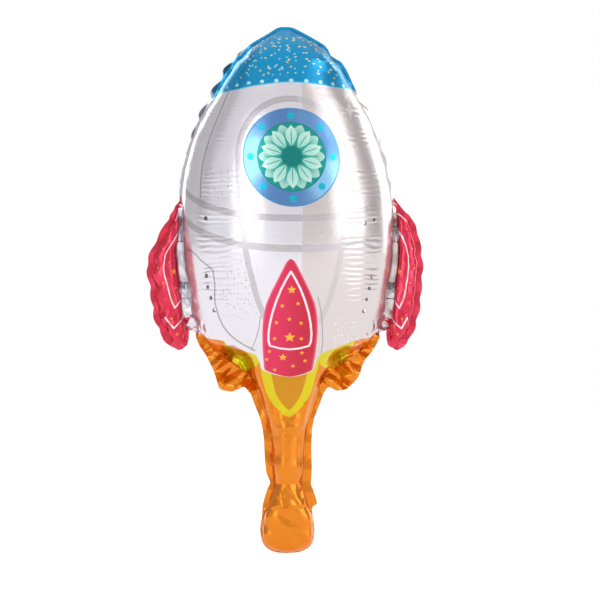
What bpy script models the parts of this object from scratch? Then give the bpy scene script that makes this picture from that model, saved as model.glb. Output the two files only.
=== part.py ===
"""Hand-held rocket foil balloon, as two printed films heat-sealed together along their edges.

Metres, +Z up. The front of the rocket faces -Y and its left fin is at -X. The origin is the middle of the
grip, on the axis of the handle tube. Sizes in the tables are millimetres, scaled by MM where they are used.
"""

import math

import bmesh
import bpy

MM = 0.001

# Film walls. The real film is a twentieth of a millimetre, so each wall here is a thicker stand-in.
WALL = 1.0
SEAL_THICKNESS = 0.8
# Each film starts this far from the middle plane, which leaves 0.3 mm between it and the seal.
SEAM_STEP = 0.7
# Neighbouring films keep this gap where one print colour meets the next.
JOINT_GAP = 0.3
# Seals that meet where the seam bends need this much between their ends.
SEAL_END_GAP = 1.4
# How far a seal reaches in under the film's wall.
SEAL_LAP = 1.4

# Heights where one part of the main chamber hands over to the next.
NOSE_TIP_Z = 380.6
NOSE_LINE_Z = 331.9
HULL_BASE_Z = 75.0
GRIP_END_Z = -15.7
TAIL_END_Z = -75.6
# The nose's printed edge hangs down this much at the seams.
NOSE_LINE_BOW = 11.0

# Heights where the side seal changes: the notch under the fin, and the flame's start and end.
NOTCH_Z = 129.5
FLAME_TOP_Z = 112.0
FLAME_END_Z = 66.0

# Seal margins outside the chambers, and the scallops that puckering gives them.
HULL_MARGIN = 4.6
NOSE_MARGIN = 3.4
FIN_MARGIN = 3.8
GRIP_MARGIN = 6.4
TAIL_MARGIN = 2.6
SCALLOP_PITCH = 19.0
SCALLOP_SHARE = 0.45
# The right margin of the grip runs on past the pinch and ends in a square corner.
RIGHT_CORNER_Z = -35.0
RIGHT_CORNER_MARGIN = 5.6

# Gas channels between hull and fin, where the two films were left unsealed: their heights and half height.
CHANNEL_HEIGHTS = (203.0, 153.5)
CHANNEL_HALF_HEIGHT = 6.0
# The seal beside the fins ends here, just above the top of the fin's chamber.
WELD_TOP_Z = 228.5
WELD_TOP_X = 93.2

# Points across each film, from seam to seam, and across each flame.
HULL_COLUMNS = 19
FIN_COLUMNS = 9
GRIP_COLUMNS = 13
FLAME_COLUMNS = 5

# The filling valve: a flat sleeve that lies inside the tail.
VALVE_HALF_WIDTH = 6.0
VALVE_TOP_Z = -34.0
VALVE_BOTTOM_Z = -72.9
VALVE_THICKNESS = 0.5

# The main chamber from the nose down to the tail.
# columns: height, half width, half depth
CHAMBER = (
    (380.6, 2.6, 2.0),
    (378.0, 8.0, 5.2),
    (374.5, 15.0, 9.6),
    (369.3, 24.0, 15.2),
    (361.5, 33.5, 21.6),
    (351.0, 43.0, 28.6),
    (340.6, 50.5, 34.0),
    (331.9, 56.0, 38.0),
    (319.7, 62.5, 43.0),
    (304.0, 71.0, 48.5),
    (288.3, 77.5, 53.0),
    (272.6, 82.3, 56.5),
    (257.0, 86.0, 59.0),
    (239.5, 89.0, 61.0),
    (220.4, 90.8, 62.0),
    (200.3, 91.0, 62.0),
    (174.2, 89.3, 60.5),
    (148.1, 85.4, 57.5),
    (130.7, 80.6, 53.5),
    (117.6, 74.8, 49.0),
    (104.5, 66.2, 43.0),
    (95.8, 57.2, 37.0),
    (87.1, 46.5, 30.5),
    (78.4, 37.2, 25.0),
    (69.7, 30.6, 21.0),
    (53.1, 23.6, 17.0),
    (42.7, 19.6, 15.0),
    (32.2, 16.2, 13.6),
    (21.8, 14.5, 12.8),
    (6.1, 13.9, 12.5),
    (-7.8, 13.4, 11.8),
    (-15.7, 12.4, 9.6),
    (-23.5, 14.8, 10.0),
    (-34.8, 17.6, 10.6),
    (-47.9, 18.9, 10.4),
    (-61.0, 18.4, 8.8),
    (-69.0, 15.4, 6.4),
    (-73.4, 10.4, 4.0),
    (-75.6, 4.0, 2.0),
)

# The right fin's chamber. The left one is its mirror image.
# columns: height, inner edge, outer edge, half depth
FIN = (
    (226.4, 93.0, 97.4, 1.9),
    (220.4, 93.4, 100.4, 3.6),
    (213.4, 94.1, 104.2, 6.0),
    (204.7, 94.5, 108.0, 8.4),
    (194.2, 94.5, 111.9, 10.0),
    (182.9, 94.3, 115.0, 11.0),
    (169.8, 93.6, 116.3, 11.4),
    (156.8, 92.4, 115.4, 11.2),
    (143.7, 90.6, 113.7, 10.5),
    (130.7, 88.6, 111.1, 9.4),
    (119.3, 87.6, 106.7, 7.4),
    (110.6, 88.0, 101.9, 5.2),
    (105.4, 89.2, 98.2, 3.6),
    (102.4, 90.8, 95.8, 2.2),
)

# The right flame: its free edge, from the hull's side round to the handle.
# columns: across, height, ruffle depth
FLAME_EDGE = (
    (74.8, 108.0, 0.0),
    (73.2, 96.0, 3.0),
    (66.0, 85.5, -4.0),
    (60.8, 78.0, 4.0),
    (56.6, 69.6, -5.0),
    (49.0, 65.2, 4.0),
    (42.0, 68.4, -3.0),
    (35.2, 66.4, 0.0),
)


def clear_scene():
    for old in list(bpy.data.objects):
        bpy.data.objects.remove(old, do_unlink=True)


def make_collection(name):
    collection = bpy.data.collections.new(name)
    bpy.context.scene.collection.children.link(collection)
    return collection


def make_material(name, colour, roughness, metallic):
    material = bpy.data.materials.new(name)
    material.use_nodes = True
    shader = material.node_tree.nodes["Principled BSDF"]
    shader.inputs["Base Color"].default_value = (*colour, 1.0)
    shader.inputs["Roughness"].default_value = roughness
    shader.inputs["Metallic"].default_value = metallic
    return material


clear_scene()
BALLOON = make_collection("rocket_foil_balloon")
BLUE_FOIL = make_material("blue_foil", (0.01, 0.26, 0.52), 0.22, 0.9)
SILVER_FOIL = make_material("silver_foil", (0.74, 0.72, 0.75), 0.24, 0.9)
RED_FOIL = make_material("red_foil", (0.62, 0.04, 0.09), 0.22, 0.9)
ORANGE_FOIL = make_material("orange_foil", (0.80, 0.30, 0.02), 0.22, 0.9)
CLEAR_FILM = make_material("valve_film", (0.80, 0.80, 0.80), 0.35, 0.0)


def place(name, mesh, material):
    """Links a mesh to the balloon as one named object."""
    piece = bpy.data.objects.new(name, mesh)
    piece.data.materials.append(material)
    BALLOON.objects.link(piece)
    return piece


def read_table(table, z, column):
    """A table's column at a height, on a smooth curve through its rows, which run from top to bottom."""
    rows = table[::-1]
    z = min(max(z, rows[0][0]), rows[-1][0])
    i = next(i for i in range(1, len(rows)) if z <= rows[i][0])
    low, high = rows[i - 1], rows[i]
    before = rows[max(i - 2, 0)]
    after = rows[min(i + 1, len(rows) - 1)]
    span = high[0] - low[0]
    slope_low = (high[column] - before[column]) / (high[0] - before[0]) * span
    slope_high = (after[column] - low[column]) / (after[0] - low[0]) * span
    t = (z - low[0]) / span
    return (
        (2 * t**3 - 3 * t**2 + 1) * low[column]
        + (t**3 - 2 * t**2 + t) * slope_low
        + (3 * t**2 - 2 * t**3) * high[column]
        + (t**3 - t**2) * slope_high
    )


def channel_share(z):
    """1 in the middle of a gas channel, falling to 0 at its ends."""
    nearest = min(abs(z - height) for height in CHANNEL_HEIGHTS)
    return math.cos(math.pi / 2 * min(nearest / CHANNEL_HALF_HEIGHT, 1.0)) ** 2


def chamber_half_width(z):
    return read_table(CHAMBER, z, 1)


def fin_inner(z):
    return read_table(FIN, z, 1)


def fin_outer(z):
    return read_table(FIN, z, 2)


def channel_reach(z):
    """How far hull and fin each bulge towards the other at this height: almost until they touch."""
    return channel_share(z) * ((fin_inner(z) - chamber_half_width(z)) - JOINT_GAP) / 2


def chamber_point(z, turn):
    """A point of the main chamber's front, from its right seam (turn 0) round to its left seam (turn pi)."""
    across = (chamber_half_width(z) + channel_reach(z)) * math.cos(turn)
    forward = read_table(CHAMBER, z, 2) * math.sin(turn)
    return across, forward, z


def fin_point(z, turn):
    """The same for the right fin's chamber, from its outer seam to its inner one."""
    inner, outer = fin_inner(z) - channel_reach(z), fin_outer(z)
    across = (inner + outer) / 2 + (outer - inner) / 2 * math.cos(turn)
    return across, read_table(FIN, z, 3) * math.sin(turn), z


def spaced(start, end, count):
    return [start + (end - start) * i / (count - 1) for i in range(count)]


def nose_bow(z):
    """How far the print line pulls a row down at the seams: most at the line, none at the tip or the fins."""
    above = (NOSE_TIP_Z - z) / (NOSE_TIP_Z - NOSE_LINE_Z)
    below = (z - WELD_TOP_Z) / (NOSE_LINE_Z - WELD_TOP_Z)
    return NOSE_LINE_BOW * max(0.0, min(above, below, 1.0))


def level(z):
    """A print line that runs straight across."""
    return 0.0


def film(name, point_at, heights, columns, facing, material, bow=level, mirrored=False):
    """One film wall: an open surface over rows of points, thickened inwards. facing is -1 for the front."""
    across_sign = -1 if mirrored else 1
    form = bmesh.new()
    rows = []
    for z in heights:
        row = []
        for turn in spaced(0.0, math.pi, columns):
            across, forward, height = point_at(z - bow(z) * (1 - math.sin(turn)), turn)
            y = facing * (SEAM_STEP + forward)
            row.append(form.verts.new((across * across_sign * MM, y * MM, height * MM)))
        rows.append(row)
    for upper, lower in zip(rows, rows[1:]):
        for i in range(columns - 1):
            form.faces.new((upper[i], upper[i + 1], lower[i + 1], lower[i]))
    if facing * across_sign > 0:
        bmesh.ops.reverse_faces(form, faces=form.faces[:])
    mesh = bpy.data.meshes.new(name)
    form.to_mesh(mesh)
    form.free()
    mesh.shade_smooth()
    piece = place(name, mesh, material)
    wall = piece.modifiers.new("wall", "SOLIDIFY")
    wall.thickness = WALL * MM
    wall.offset = -1
    return piece


def seam_normals(path):
    """For each point of a path in the X-Z plane, the unit vector to the right of the way it runs."""
    normals = []
    for i in range(len(path)):
        before, after = path[max(i - 1, 0)], path[min(i + 1, len(path) - 1)]
        along = (after[0] - before[0], after[1] - before[1])
        length = math.hypot(*along)
        normals.append((along[1] / length, -along[0] / length))
    return normals


def scalloped(margin, along):
    """A margin's width at a distance along the seam, drawn in between the puckers."""
    return margin * (1 - SCALLOP_SHARE + SCALLOP_SHARE * abs(math.sin(math.pi * along / SCALLOP_PITCH)))


def offset_strip(path, margin, scallops=True):
    """(inner, outer) pairs along a seam that runs with the chamber on its left hand."""
    pairs, along = [], 0.0
    for i, ((x, z), (nx, nz)) in enumerate(zip(path, seam_normals(path))):
        if i:
            along += math.dist(path[i - 1], path[i])
        out = scalloped(margin, along) if scallops else margin
        pairs.append(((x - nx * SEAL_LAP, z - nz * SEAL_LAP), (x + nx * out, z + nz * out)))
    return pairs


def seal(name, pairs, material, mirrored=False):
    """A flat fused strip in the middle plane, between the inner and outer edges given as pairs of points."""
    across_sign = -1 if mirrored else 1
    form = bmesh.new()
    edges = [
        [form.verts.new((x * across_sign * MM, 0.0, z * MM)) for x, z in pair] for pair in pairs
    ]
    for (inner, outer), (next_inner, next_outer) in zip(edges, edges[1:]):
        form.faces.new((inner, outer, next_outer, next_inner))
    mesh = bpy.data.meshes.new(name)
    form.to_mesh(mesh)
    form.free()
    piece = place(name, mesh, material)
    wall = piece.modifiers.new("wall", "SOLIDIFY")
    wall.thickness = SEAL_THICKNESS * MM
    wall.offset = 0
    return piece


def seam_at(heights):
    """The right-hand seam of the main chamber as points in the X-Z plane."""
    return [(chamber_half_width(z), z) for z in heights]


def mirrored_back(path):
    """The same path on the left side, run the other way."""
    return [(-x, z) for x, z in reversed(path)]


def add_nose():
    heights = [NOSE_TIP_Z, 379.4, 377.6, 374.5, 370.0, 364.0, 357.0, 349.5, 341.0]
    heights.append(NOSE_LINE_Z + JOINT_GAP / 2)
    for label, facing in (("front", -1), ("back", 1)):
        film(f"nose_{label}", chamber_point, heights, HULL_COLUMNS, facing, BLUE_FOIL, bow=nose_bow)
    steep = spaced(NOSE_LINE_Z - NOSE_LINE_BOW + JOINT_GAP / 2, 366.0, 16)
    blunt = [369.0, 371.6, 374.0, 376.0, 377.6, 378.8, 379.8, NOSE_TIP_Z]
    right = seam_at(steep + blunt)
    seal("nose_seal", offset_strip(right + mirrored_back(right), NOSE_MARGIN), BLUE_FOIL)


def add_hull():
    upper = spaced(NOSE_LINE_Z - JOINT_GAP / 2, 215.0, 10)
    channels = [209.0, 206.0, 203.0, 200.0, 197.0, 187.0, 177.0, 167.0, 159.5, 156.5, 153.5, 150.5, 147.5]
    lower = spaced(139.0, HULL_BASE_Z + JOINT_GAP / 2, 9)
    for label, facing in (("front", -1), ("back", 1)):
        film(f"hull_{label}", chamber_point, upper + channels + lower, HULL_COLUMNS, facing, SILVER_FOIL, bow=nose_bow)
    upper_seam = seam_at(spaced(WELD_TOP_Z + JOINT_GAP, NOSE_LINE_Z - NOSE_LINE_BOW - JOINT_GAP / 2, 30))
    lower_seam = seam_at(spaced(FLAME_TOP_Z + SEAL_END_GAP, NOTCH_Z - SEAL_END_GAP, 7))
    for side, mirrored in (("left", True), ("right", False)):
        seal(f"hull_seal_{side}", offset_strip(upper_seam, HULL_MARGIN), SILVER_FOIL, mirrored)
        seal(f"notch_seal_{side}", offset_strip(lower_seam, HULL_MARGIN), SILVER_FOIL, mirrored)


def add_fins():
    heights = [226.4, 220.4, 214.5, 209.0, 206.0, 203.0, 200.0, 197.0, 187.0, 177.0, 167.0, 159.5]
    heights += [156.5, 153.5, 150.5, 147.5, 139.0, 130.7, 123.0, 116.0, 110.6, 105.4, 102.4]
    inner_edge = [(fin_inner(z), z) for z in spaced(NOTCH_Z - JOINT_GAP, FIN[-1][0], 10)]
    outer_edge = [(fin_outer(z), z) for z in spaced(FIN[-1][0], FIN[0][0], 40)]
    free_edge = inner_edge + outer_edge + [(94.6, 228.4)]
    ends = [NOTCH_Z, *reversed(CHANNEL_HEIGHTS), WELD_TOP_Z]
    for side, mirrored in (("left", True), ("right", False)):
        for label, facing in (("front", -1), ("back", 1)):
            film(f"fin_{side}_{label}", fin_point, heights, FIN_COLUMNS, facing, RED_FOIL, mirrored=mirrored)
        seal(f"fin_seal_{side}", offset_strip(free_edge, FIN_MARGIN), RED_FOIL, mirrored)
        for label, low, high in zip(("lower", "middle", "upper"), ends, ends[1:]):
            low += CHANNEL_HALF_HEIGHT if low in CHANNEL_HEIGHTS else 0.0
            high -= CHANNEL_HALF_HEIGHT if high in CHANNEL_HEIGHTS else 0.0
            pairs = [
                ((chamber_half_width(z) - SEAL_LAP, z), (fin_inner(z) + SEAL_LAP, z))
                for z in spaced(low, high, 7)
            ]
            if high == WELD_TOP_Z:
                pairs[-1] = (pairs[-1][0], (WELD_TOP_X, WELD_TOP_Z))
            seal(f"weld_{side}_{label}", pairs, SILVER_FOIL, mirrored)


def add_handle():
    funnel = [HULL_BASE_Z - JOINT_GAP / 2, 69.7, 64.0, 58.0, 51.0, 42.7, 32.2]
    tube = [21.8, 12.0, 0.0, -8.0, -12.0, GRIP_END_Z + JOINT_GAP / 2]
    tail = [GRIP_END_Z - JOINT_GAP / 2, -19.5, -23.5, -29.0, -34.8, -41.0, -47.9, -55.0, -61.0, -66.0, -70.0]
    tail += [-73.4, TAIL_END_Z]
    for label, facing in (("front", -1), ("back", 1)):
        film(f"handle_{label}", chamber_point, funnel + tube, GRIP_COLUMNS, facing, ORANGE_FOIL)
        film(f"tail_{label}", chamber_point, tail, GRIP_COLUMNS, facing, ORANGE_FOIL)
    left = seam_at(spaced(GRIP_END_Z, FLAME_END_Z - SEAL_END_GAP, 20))
    seal("handle_seal_left", offset_strip(left, GRIP_MARGIN, scallops=False), ORANGE_FOIL, mirrored=True)
    corner = seam_at(spaced(RIGHT_CORNER_Z, GRIP_END_Z, 6))
    right = seam_at(spaced(GRIP_END_Z, FLAME_END_Z - SEAL_END_GAP, 20))
    pairs = offset_strip(corner, RIGHT_CORNER_MARGIN, scallops=False)[:-1]
    seal("handle_seal_right", pairs + offset_strip(right, GRIP_MARGIN, scallops=False), ORANGE_FOIL)
    round_end = seam_at(spaced(TAIL_END_Z, RIGHT_CORNER_Z - SEAL_END_GAP, 16))
    left_rest = mirrored_back(seam_at(spaced(RIGHT_CORNER_Z, GRIP_END_Z - SEAL_END_GAP, 6)))
    path = left_rest + mirrored_back(round_end) + round_end
    seal("tail_seal", offset_strip(path, TAIL_MARGIN), ORANGE_FOIL)


def add_flames():
    """Flat sheets of fused film beside the hull's foot, ruffled where the films shrank when they filled."""
    foot_seam = seam_at(spaced(FLAME_TOP_Z, FLAME_END_Z, len(FLAME_EDGE)))
    inner = [(x - SEAL_LAP, z) for x, z in foot_seam]
    stations, columns = 4 * (len(FLAME_EDGE) - 1) + 1, FLAME_COLUMNS
    for side, across_sign in (("left", -1), ("right", 1)):
        form = bmesh.new()
        grid = []
        for station in spaced(0.0, len(FLAME_EDGE) - 1, stations):
            i = min(int(station), len(FLAME_EDGE) - 2)
            t = station - i
            foot = [inner[i][k] * (1 - t) + inner[i + 1][k] * t for k in range(2)]
            edge = [FLAME_EDGE[i][k] * (1 - t) + FLAME_EDGE[i + 1][k] * t for k in range(2)]
            ease = (1 - math.cos(math.pi * t)) / 2
            ruffle = FLAME_EDGE[i][2] * (1 - ease) + FLAME_EDGE[i + 1][2] * ease
            row = []
            for out in spaced(0.0, 1.0, columns):
                x, z = (foot[k] * (1 - out) + edge[k] * out for k in range(2))
                row.append(form.verts.new((across_sign * x * MM, ruffle * out**2 * MM, z * MM)))
            grid.append(row)
        for first, second in zip(grid, grid[1:]):
            for i in range(columns - 1):
                form.faces.new((first[i], first[i + 1], second[i + 1], second[i]))
        mesh = bpy.data.meshes.new(f"flame_{side}")
        form.to_mesh(mesh)
        form.free()
        mesh.shade_smooth()
        wall = place(f"flame_{side}", mesh, ORANGE_FOIL).modifiers.new("wall", "SOLIDIFY")
        wall.thickness = SEAL_THICKNESS * MM
        wall.offset = 0


def add_valve():
    size = (2 * VALVE_HALF_WIDTH, VALVE_THICKNESS, VALVE_TOP_Z - VALVE_BOTTOM_Z)
    middle = (VALVE_TOP_Z + VALVE_BOTTOM_Z) / 2
    form = bmesh.new()
    bmesh.ops.create_cube(form, size=MM)
    bmesh.ops.scale(form, vec=size, verts=form.verts)
    bmesh.ops.translate(form, vec=(0.0, 0.0, middle * MM), verts=form.verts)
    mesh = bpy.data.meshes.new("valve_sleeve")
    form.to_mesh(mesh)
    form.free()
    place("valve_sleeve", mesh, CLEAR_FILM)


add_nose()
add_hull()
add_fins()
add_handle()
add_flames()
add_valve()
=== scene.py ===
# %% [markdown]
# # A rocket foil balloon on a handle
#
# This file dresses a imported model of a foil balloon, step by step.
# A foil balloon is two flat printed films that are welded together along an outline and then blown up.
# The film hardly stretches, so the outline has too much length once the balloon is round.
# That spare length is what makes the rows of puckers along the seams.
# So the shape is made here as the real one is: a flat pattern is cut, and gas is put in.

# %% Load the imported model
import math
import time

import bpy
import numpy as np
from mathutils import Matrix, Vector
from mathutils.bvhtree import BVHTree
from mathutils.geometry import delaunay_2d_cdt


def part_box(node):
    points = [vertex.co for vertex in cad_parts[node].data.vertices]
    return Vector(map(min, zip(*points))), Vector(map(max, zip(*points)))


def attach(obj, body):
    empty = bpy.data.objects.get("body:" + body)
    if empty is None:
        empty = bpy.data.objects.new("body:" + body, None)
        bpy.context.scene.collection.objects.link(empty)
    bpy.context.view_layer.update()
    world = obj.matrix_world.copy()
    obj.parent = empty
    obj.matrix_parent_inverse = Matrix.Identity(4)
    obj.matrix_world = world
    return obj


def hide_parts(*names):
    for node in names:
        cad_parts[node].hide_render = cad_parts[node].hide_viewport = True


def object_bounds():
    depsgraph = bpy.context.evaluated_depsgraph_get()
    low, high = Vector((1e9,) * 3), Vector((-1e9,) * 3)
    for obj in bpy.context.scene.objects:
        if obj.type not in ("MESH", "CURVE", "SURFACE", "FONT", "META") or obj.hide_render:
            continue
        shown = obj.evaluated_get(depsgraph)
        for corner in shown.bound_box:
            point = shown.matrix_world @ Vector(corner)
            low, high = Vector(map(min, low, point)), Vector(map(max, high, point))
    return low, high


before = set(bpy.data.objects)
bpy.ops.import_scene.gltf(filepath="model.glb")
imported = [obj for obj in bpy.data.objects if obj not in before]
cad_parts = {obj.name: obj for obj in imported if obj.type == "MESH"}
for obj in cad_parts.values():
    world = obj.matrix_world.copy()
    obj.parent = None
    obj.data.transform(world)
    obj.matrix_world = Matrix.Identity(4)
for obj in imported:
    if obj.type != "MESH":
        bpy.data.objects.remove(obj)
cad_low, cad_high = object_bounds()
MM = 0.001
print("solids:", len(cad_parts), "box in mm:", [round(s / MM, 1) for s in cad_high - cad_low])

# %% [markdown]
# ## How big the blown-up balloon is
#
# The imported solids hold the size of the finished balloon, so nothing is measured twice.
# Rays are shot at them from the side and from the front, level by level.
# Each level then has a half width at the seam and a half depth in the middle, both in millimetres.

# %% Rays that measure the solids
def tree_of(names):
    """A tree for ray casting over these solids, in millimetres."""
    points, faces = [], []
    for name in names:
        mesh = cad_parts[name].data
        first = len(points)
        points += [v.co / MM for v in mesh.vertices]
        faces += [[first + i for i in p.vertices] for p in mesh.polygons]
    return BVHTree.FromPolygons(points, faces)


def hit(tree, origin, direction):
    """Where a ray meets the solids, or None."""
    return tree.ray_cast(Vector(origin), Vector(direction))[0]


SKIN = 0.9    # the rays run this far in front of the seam's plane, inside the wall of the solids
FAR = 300.0   # where a ray starts, well outside the balloon

# %% Sections of the body
CHANNEL_HEIGHTS = (153.5, 203.0)   # two gas channels a side lead from the body into the fin
CHANNEL_CLEAR = 11.0

body_tree = tree_of(["nose_front", "hull_front", "handle_front", "tail_front"])
body_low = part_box("tail_front")[0].z / MM
body_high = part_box("nose_front")[1].z / MM
ends = np.array([0.5, 2.0, 4.5, 8.0, 13.0])
levels = np.concatenate([body_low + ends, np.arange(-56.0, 356.0, 8.0), body_high - ends[::-1]])
rows = []
for z in levels:
    if min(abs(z - c) for c in CHANNEL_HEIGHTS) < CHANNEL_CLEAR:
        continue
    side = hit(body_tree, (FAR, -SKIN, z), (-1, 0, 0))
    middle = hit(body_tree, (0.02, -FAR, z), (0, 1, 0))
    if side and middle:
        rows.append((z, side.x, -middle.y))
BODY_Z, BODY_W, BODY_D = np.array(rows).T
print("body rows:", len(BODY_Z), "widest half:", BODY_W.max().round(1), "deepest half:", BODY_D.max().round(1))

# %% Sections of a fin
fin_tree = tree_of(["fin_right_front"])
fin_box = [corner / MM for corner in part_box("fin_right_front")]
rows = []
for z in np.linspace(fin_box[0].z + 1.2, fin_box[1].z - 1.2, 15):
    outer = hit(fin_tree, (FAR, -SKIN, z), (-1, 0, 0))
    inner = hit(fin_tree, (fin_box[0].x - 12.0, -SKIN, z), (1, 0, 0))
    if not (outer and inner):
        continue
    middle = hit(fin_tree, ((outer.x + inner.x) / 2, -FAR, z), (0, 1, 0))
    rows.append((z, inner.x, outer.x, -middle.y if middle else 2.0))
FIN_Z, FIN_IN, FIN_OUT, FIN_D = np.array(rows).T
near = [min(abs(z - c) for c in CHANNEL_HEIGHTS) > CHANNEL_CLEAR for z in FIN_Z]
FIN_IN = np.interp(FIN_Z, FIN_Z[near], FIN_IN[near])
FIN_D[[0, -1]] = 1.2
FIN_OUT[[0, -1]] = FIN_IN[[0, -1]] + (3.4, 1.6)
print("fin rows:", len(FIN_Z), "from", FIN_Z[0].round(1), "to", FIN_Z[-1].round(1),
      "outer", FIN_OUT.max().round(1), "half depth", FIN_D.max().round(1))

# %% [markdown]
# ## The flat pattern
#
# Before it is filled, the balloon is flat. Film doesn't stretch, so two lengths carry over.
# Half a section of the round balloon is a quarter of an ellipse each side, and its length is the flat half width.
# The line down the middle of the front runs over the bulge, and its length is the flat height.
# Flat places are written u, across, and v, up, in millimetres, with v = 0 where a hand holds the grip.

# %% Flat sizes worked out from the round ones
def quarter(width, depth):
    """Length of a quarter of an ellipse, by a close and well-known approximation."""
    return math.pi * (3 * (width + depth) - np.sqrt((3 * width + depth) * (width + 3 * depth))) / 4


def smooth_rows(x, xs, ys):
    """A smooth curve through rows of a table."""
    x = np.asarray(x, float)
    i = np.clip(np.searchsorted(xs, x), 1, len(xs) - 1)
    slope = np.gradient(ys, xs)
    h = xs[i] - xs[i - 1]
    t = np.clip((x - xs[i - 1]) / h, 0, 1)
    a, b = (2 * t**3 - 3 * t**2 + 1), (3 * t**2 - 2 * t**3)
    return a * ys[i - 1] + b * ys[i] + h * ((t**3 - 2 * t**2 + t) * slope[i - 1] + (t**3 - t**2) * slope[i])


WELD = 3.5   # width of the welded strip between the body and a fin
FLAT_V = np.concatenate([[0], np.cumsum(np.hypot(np.diff(BODY_Z), np.diff(BODY_D)))])
FLAT_V -= np.interp(0, BODY_Z, FLAT_V)
FLAT_W = quarter(BODY_W, BODY_D)
FIN_V = np.interp(FIN_Z, BODY_Z, FLAT_V)
FIN_W = 2 * quarter((FIN_OUT - FIN_IN) / 2, FIN_D)
FIN_GAP = np.maximum(0, FIN_IN - np.interp(FIN_Z, BODY_Z, BODY_W) - WELD) * 0.9


def v_at(z):
    """The flat height of a height on the blown-up balloon."""
    return float(np.interp(z, BODY_Z, FLAT_V))


def half_width(v):
    return smooth_rows(v, FLAT_V, FLAT_W)


def fin_inner(v):
    return half_width(v) + WELD + np.interp(v, FIN_V, FIN_GAP)


def fin_outer(v):
    return fin_inner(v) + np.interp(v, FIN_V, FIN_W)


print("flat pattern in mm:", round(2 * float(fin_outer(FIN_V).max()), 1), "x", round(FLAT_V[-1] - FLAT_V[0], 1))
# %% [markdown]
# ## The welds, the cut edge and the colour zones
#
# The weld line runs round the body, out along two gas channels a side and round each fin.
# Between body, fin and channels a small island is welded too.
# The film is cut a few millimetres outside the weld, so a flat margin runs all round.
# At the foot of the body the margin widens into two flaps, the outer flames.
# The pattern is drawn as short runs between named corners, so that the corners stay sharp.
# Lines where the print changes colour are part of the mesh as well, so that pieces meet cleanly on them.

# %% Small helpers for flat lines
NEAR_STEP = 3.2    # spacing of points along a weld, in mm
FAR_STEP = 6.0     # spacing in the middle of the film
NEAR_BAND = 22.0   # how far the close spacing reaches in from a weld


def run(across, start, stop, points=120):
    """A line that follows a function of the flat height."""
    v = np.linspace(start, stop, points)
    return np.stack([across(v), v], 1)


def moved_out(line, by):
    """The line moved to its right-hand side, which is outwards on the right half."""
    way = np.gradient(line, axis=0)
    way /= np.linalg.norm(way, axis=1)[:, None]
    by = np.broadcast_to(by, len(line))[:, None]
    return line + np.stack([way[:, 1], -way[:, 0]], 1) * by


def even(line, step):
    """The same open line with even spacing. Both of its ends are kept."""
    length = np.concatenate([[0], np.cumsum(np.linalg.norm(np.diff(line, axis=0), axis=1))])
    count = max(1, round(length[-1] / step))
    at = np.linspace(0, length[-1], count + 1)
    return np.stack([np.interp(at, length, line[:, 0]), np.interp(at, length, line[:, 1])], 1)


def joined(lines, step=NEAR_STEP):
    """Evenly spaced runs put end to end, without the doubled corners."""
    runs = [even(line, step) for line in lines]
    whole = np.concatenate(runs)
    gap = np.linalg.norm(np.diff(whole, axis=0), axis=1)
    return whole[np.concatenate([[True], gap > 0.3])]


def mirrored(line):
    return line[::-1] * [-1, 1]


def inside(points, loop):
    """Which points lie inside a closed loop."""
    found = np.zeros(len(points), bool)
    a, b = loop, np.roll(loop, -1, 0)
    for k in range(0, len(points), 4000):
        x, y = points[k:k + 4000, 0][:, None], points[k:k + 4000, 1][:, None]
        spans = (a[:, 1] > y) != (b[:, 1] > y)
        cross = (b[:, 0] - a[:, 0]) * (y - a[:, 1]) / (b[:, 1] - a[:, 1] + 1e-12) + a[:, 0]
        found[k:k + 4000] = ((spans & (x < cross)).sum(1) % 2).astype(bool)
    return found


# %% Heights where something changes
CHANNEL_HALF = 7.0
V_LOW, V_HIGH = (v_at(z) for z in CHANNEL_HEIGHTS)
V_NOTCH = v_at(129.5)      # under the fin the cut runs in to the body
V_FLAME = v_at(113.0)      # the flaps start here
V_FLAME_END = v_at(67.0)
V_BASE = v_at(75.0)        # the body's film goes over into the handle's
V_GRIP_END = v_at(-15.7)   # the pinch between the grip and the tail
V_NOSE = v_at(325.0)       # the nose's blue starts here at the seam
NOSE_BOW = 8.0             # and this much higher in the middle


def nose_line(u):
    """Flat height of the lower edge of the blue."""
    return V_NOSE + NOSE_BOW * (1 - (np.abs(u) / half_width(V_NOSE)) ** 2)


# %% The weld line
def weld_line():
    low, high = V_LOW - CHANNEL_HALF, V_HIGH + CHANNEL_HALF
    corners = [FLAT_V[0], V_GRIP_END, V_BASE, low]
    lines = [run(half_width, a, b) for a, b in zip(corners, corners[1:])]
    lines += [run(fin_inner, low, FIN_V[0]), run(fin_outer, FIN_V[0], FIN_V[-1])]
    lines += [run(fin_inner, FIN_V[-1], high), run(half_width, high, V_NOSE), run(half_width, V_NOSE, FLAT_V[-1])]
    return joined(lines)


weld = weld_line()
GAS_LOOP = np.concatenate([weld, mirrored(weld)])
island = joined([run(half_width, V_LOW + CHANNEL_HALF, V_HIGH - CHANNEL_HALF),
                 run(fin_inner, V_HIGH - CHANNEL_HALF, V_LOW + CHANNEL_HALF)])
ISLANDS = [island, mirrored(island)]
print("weld points:", len(GAS_LOOP), "island points:", len(island))

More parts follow.
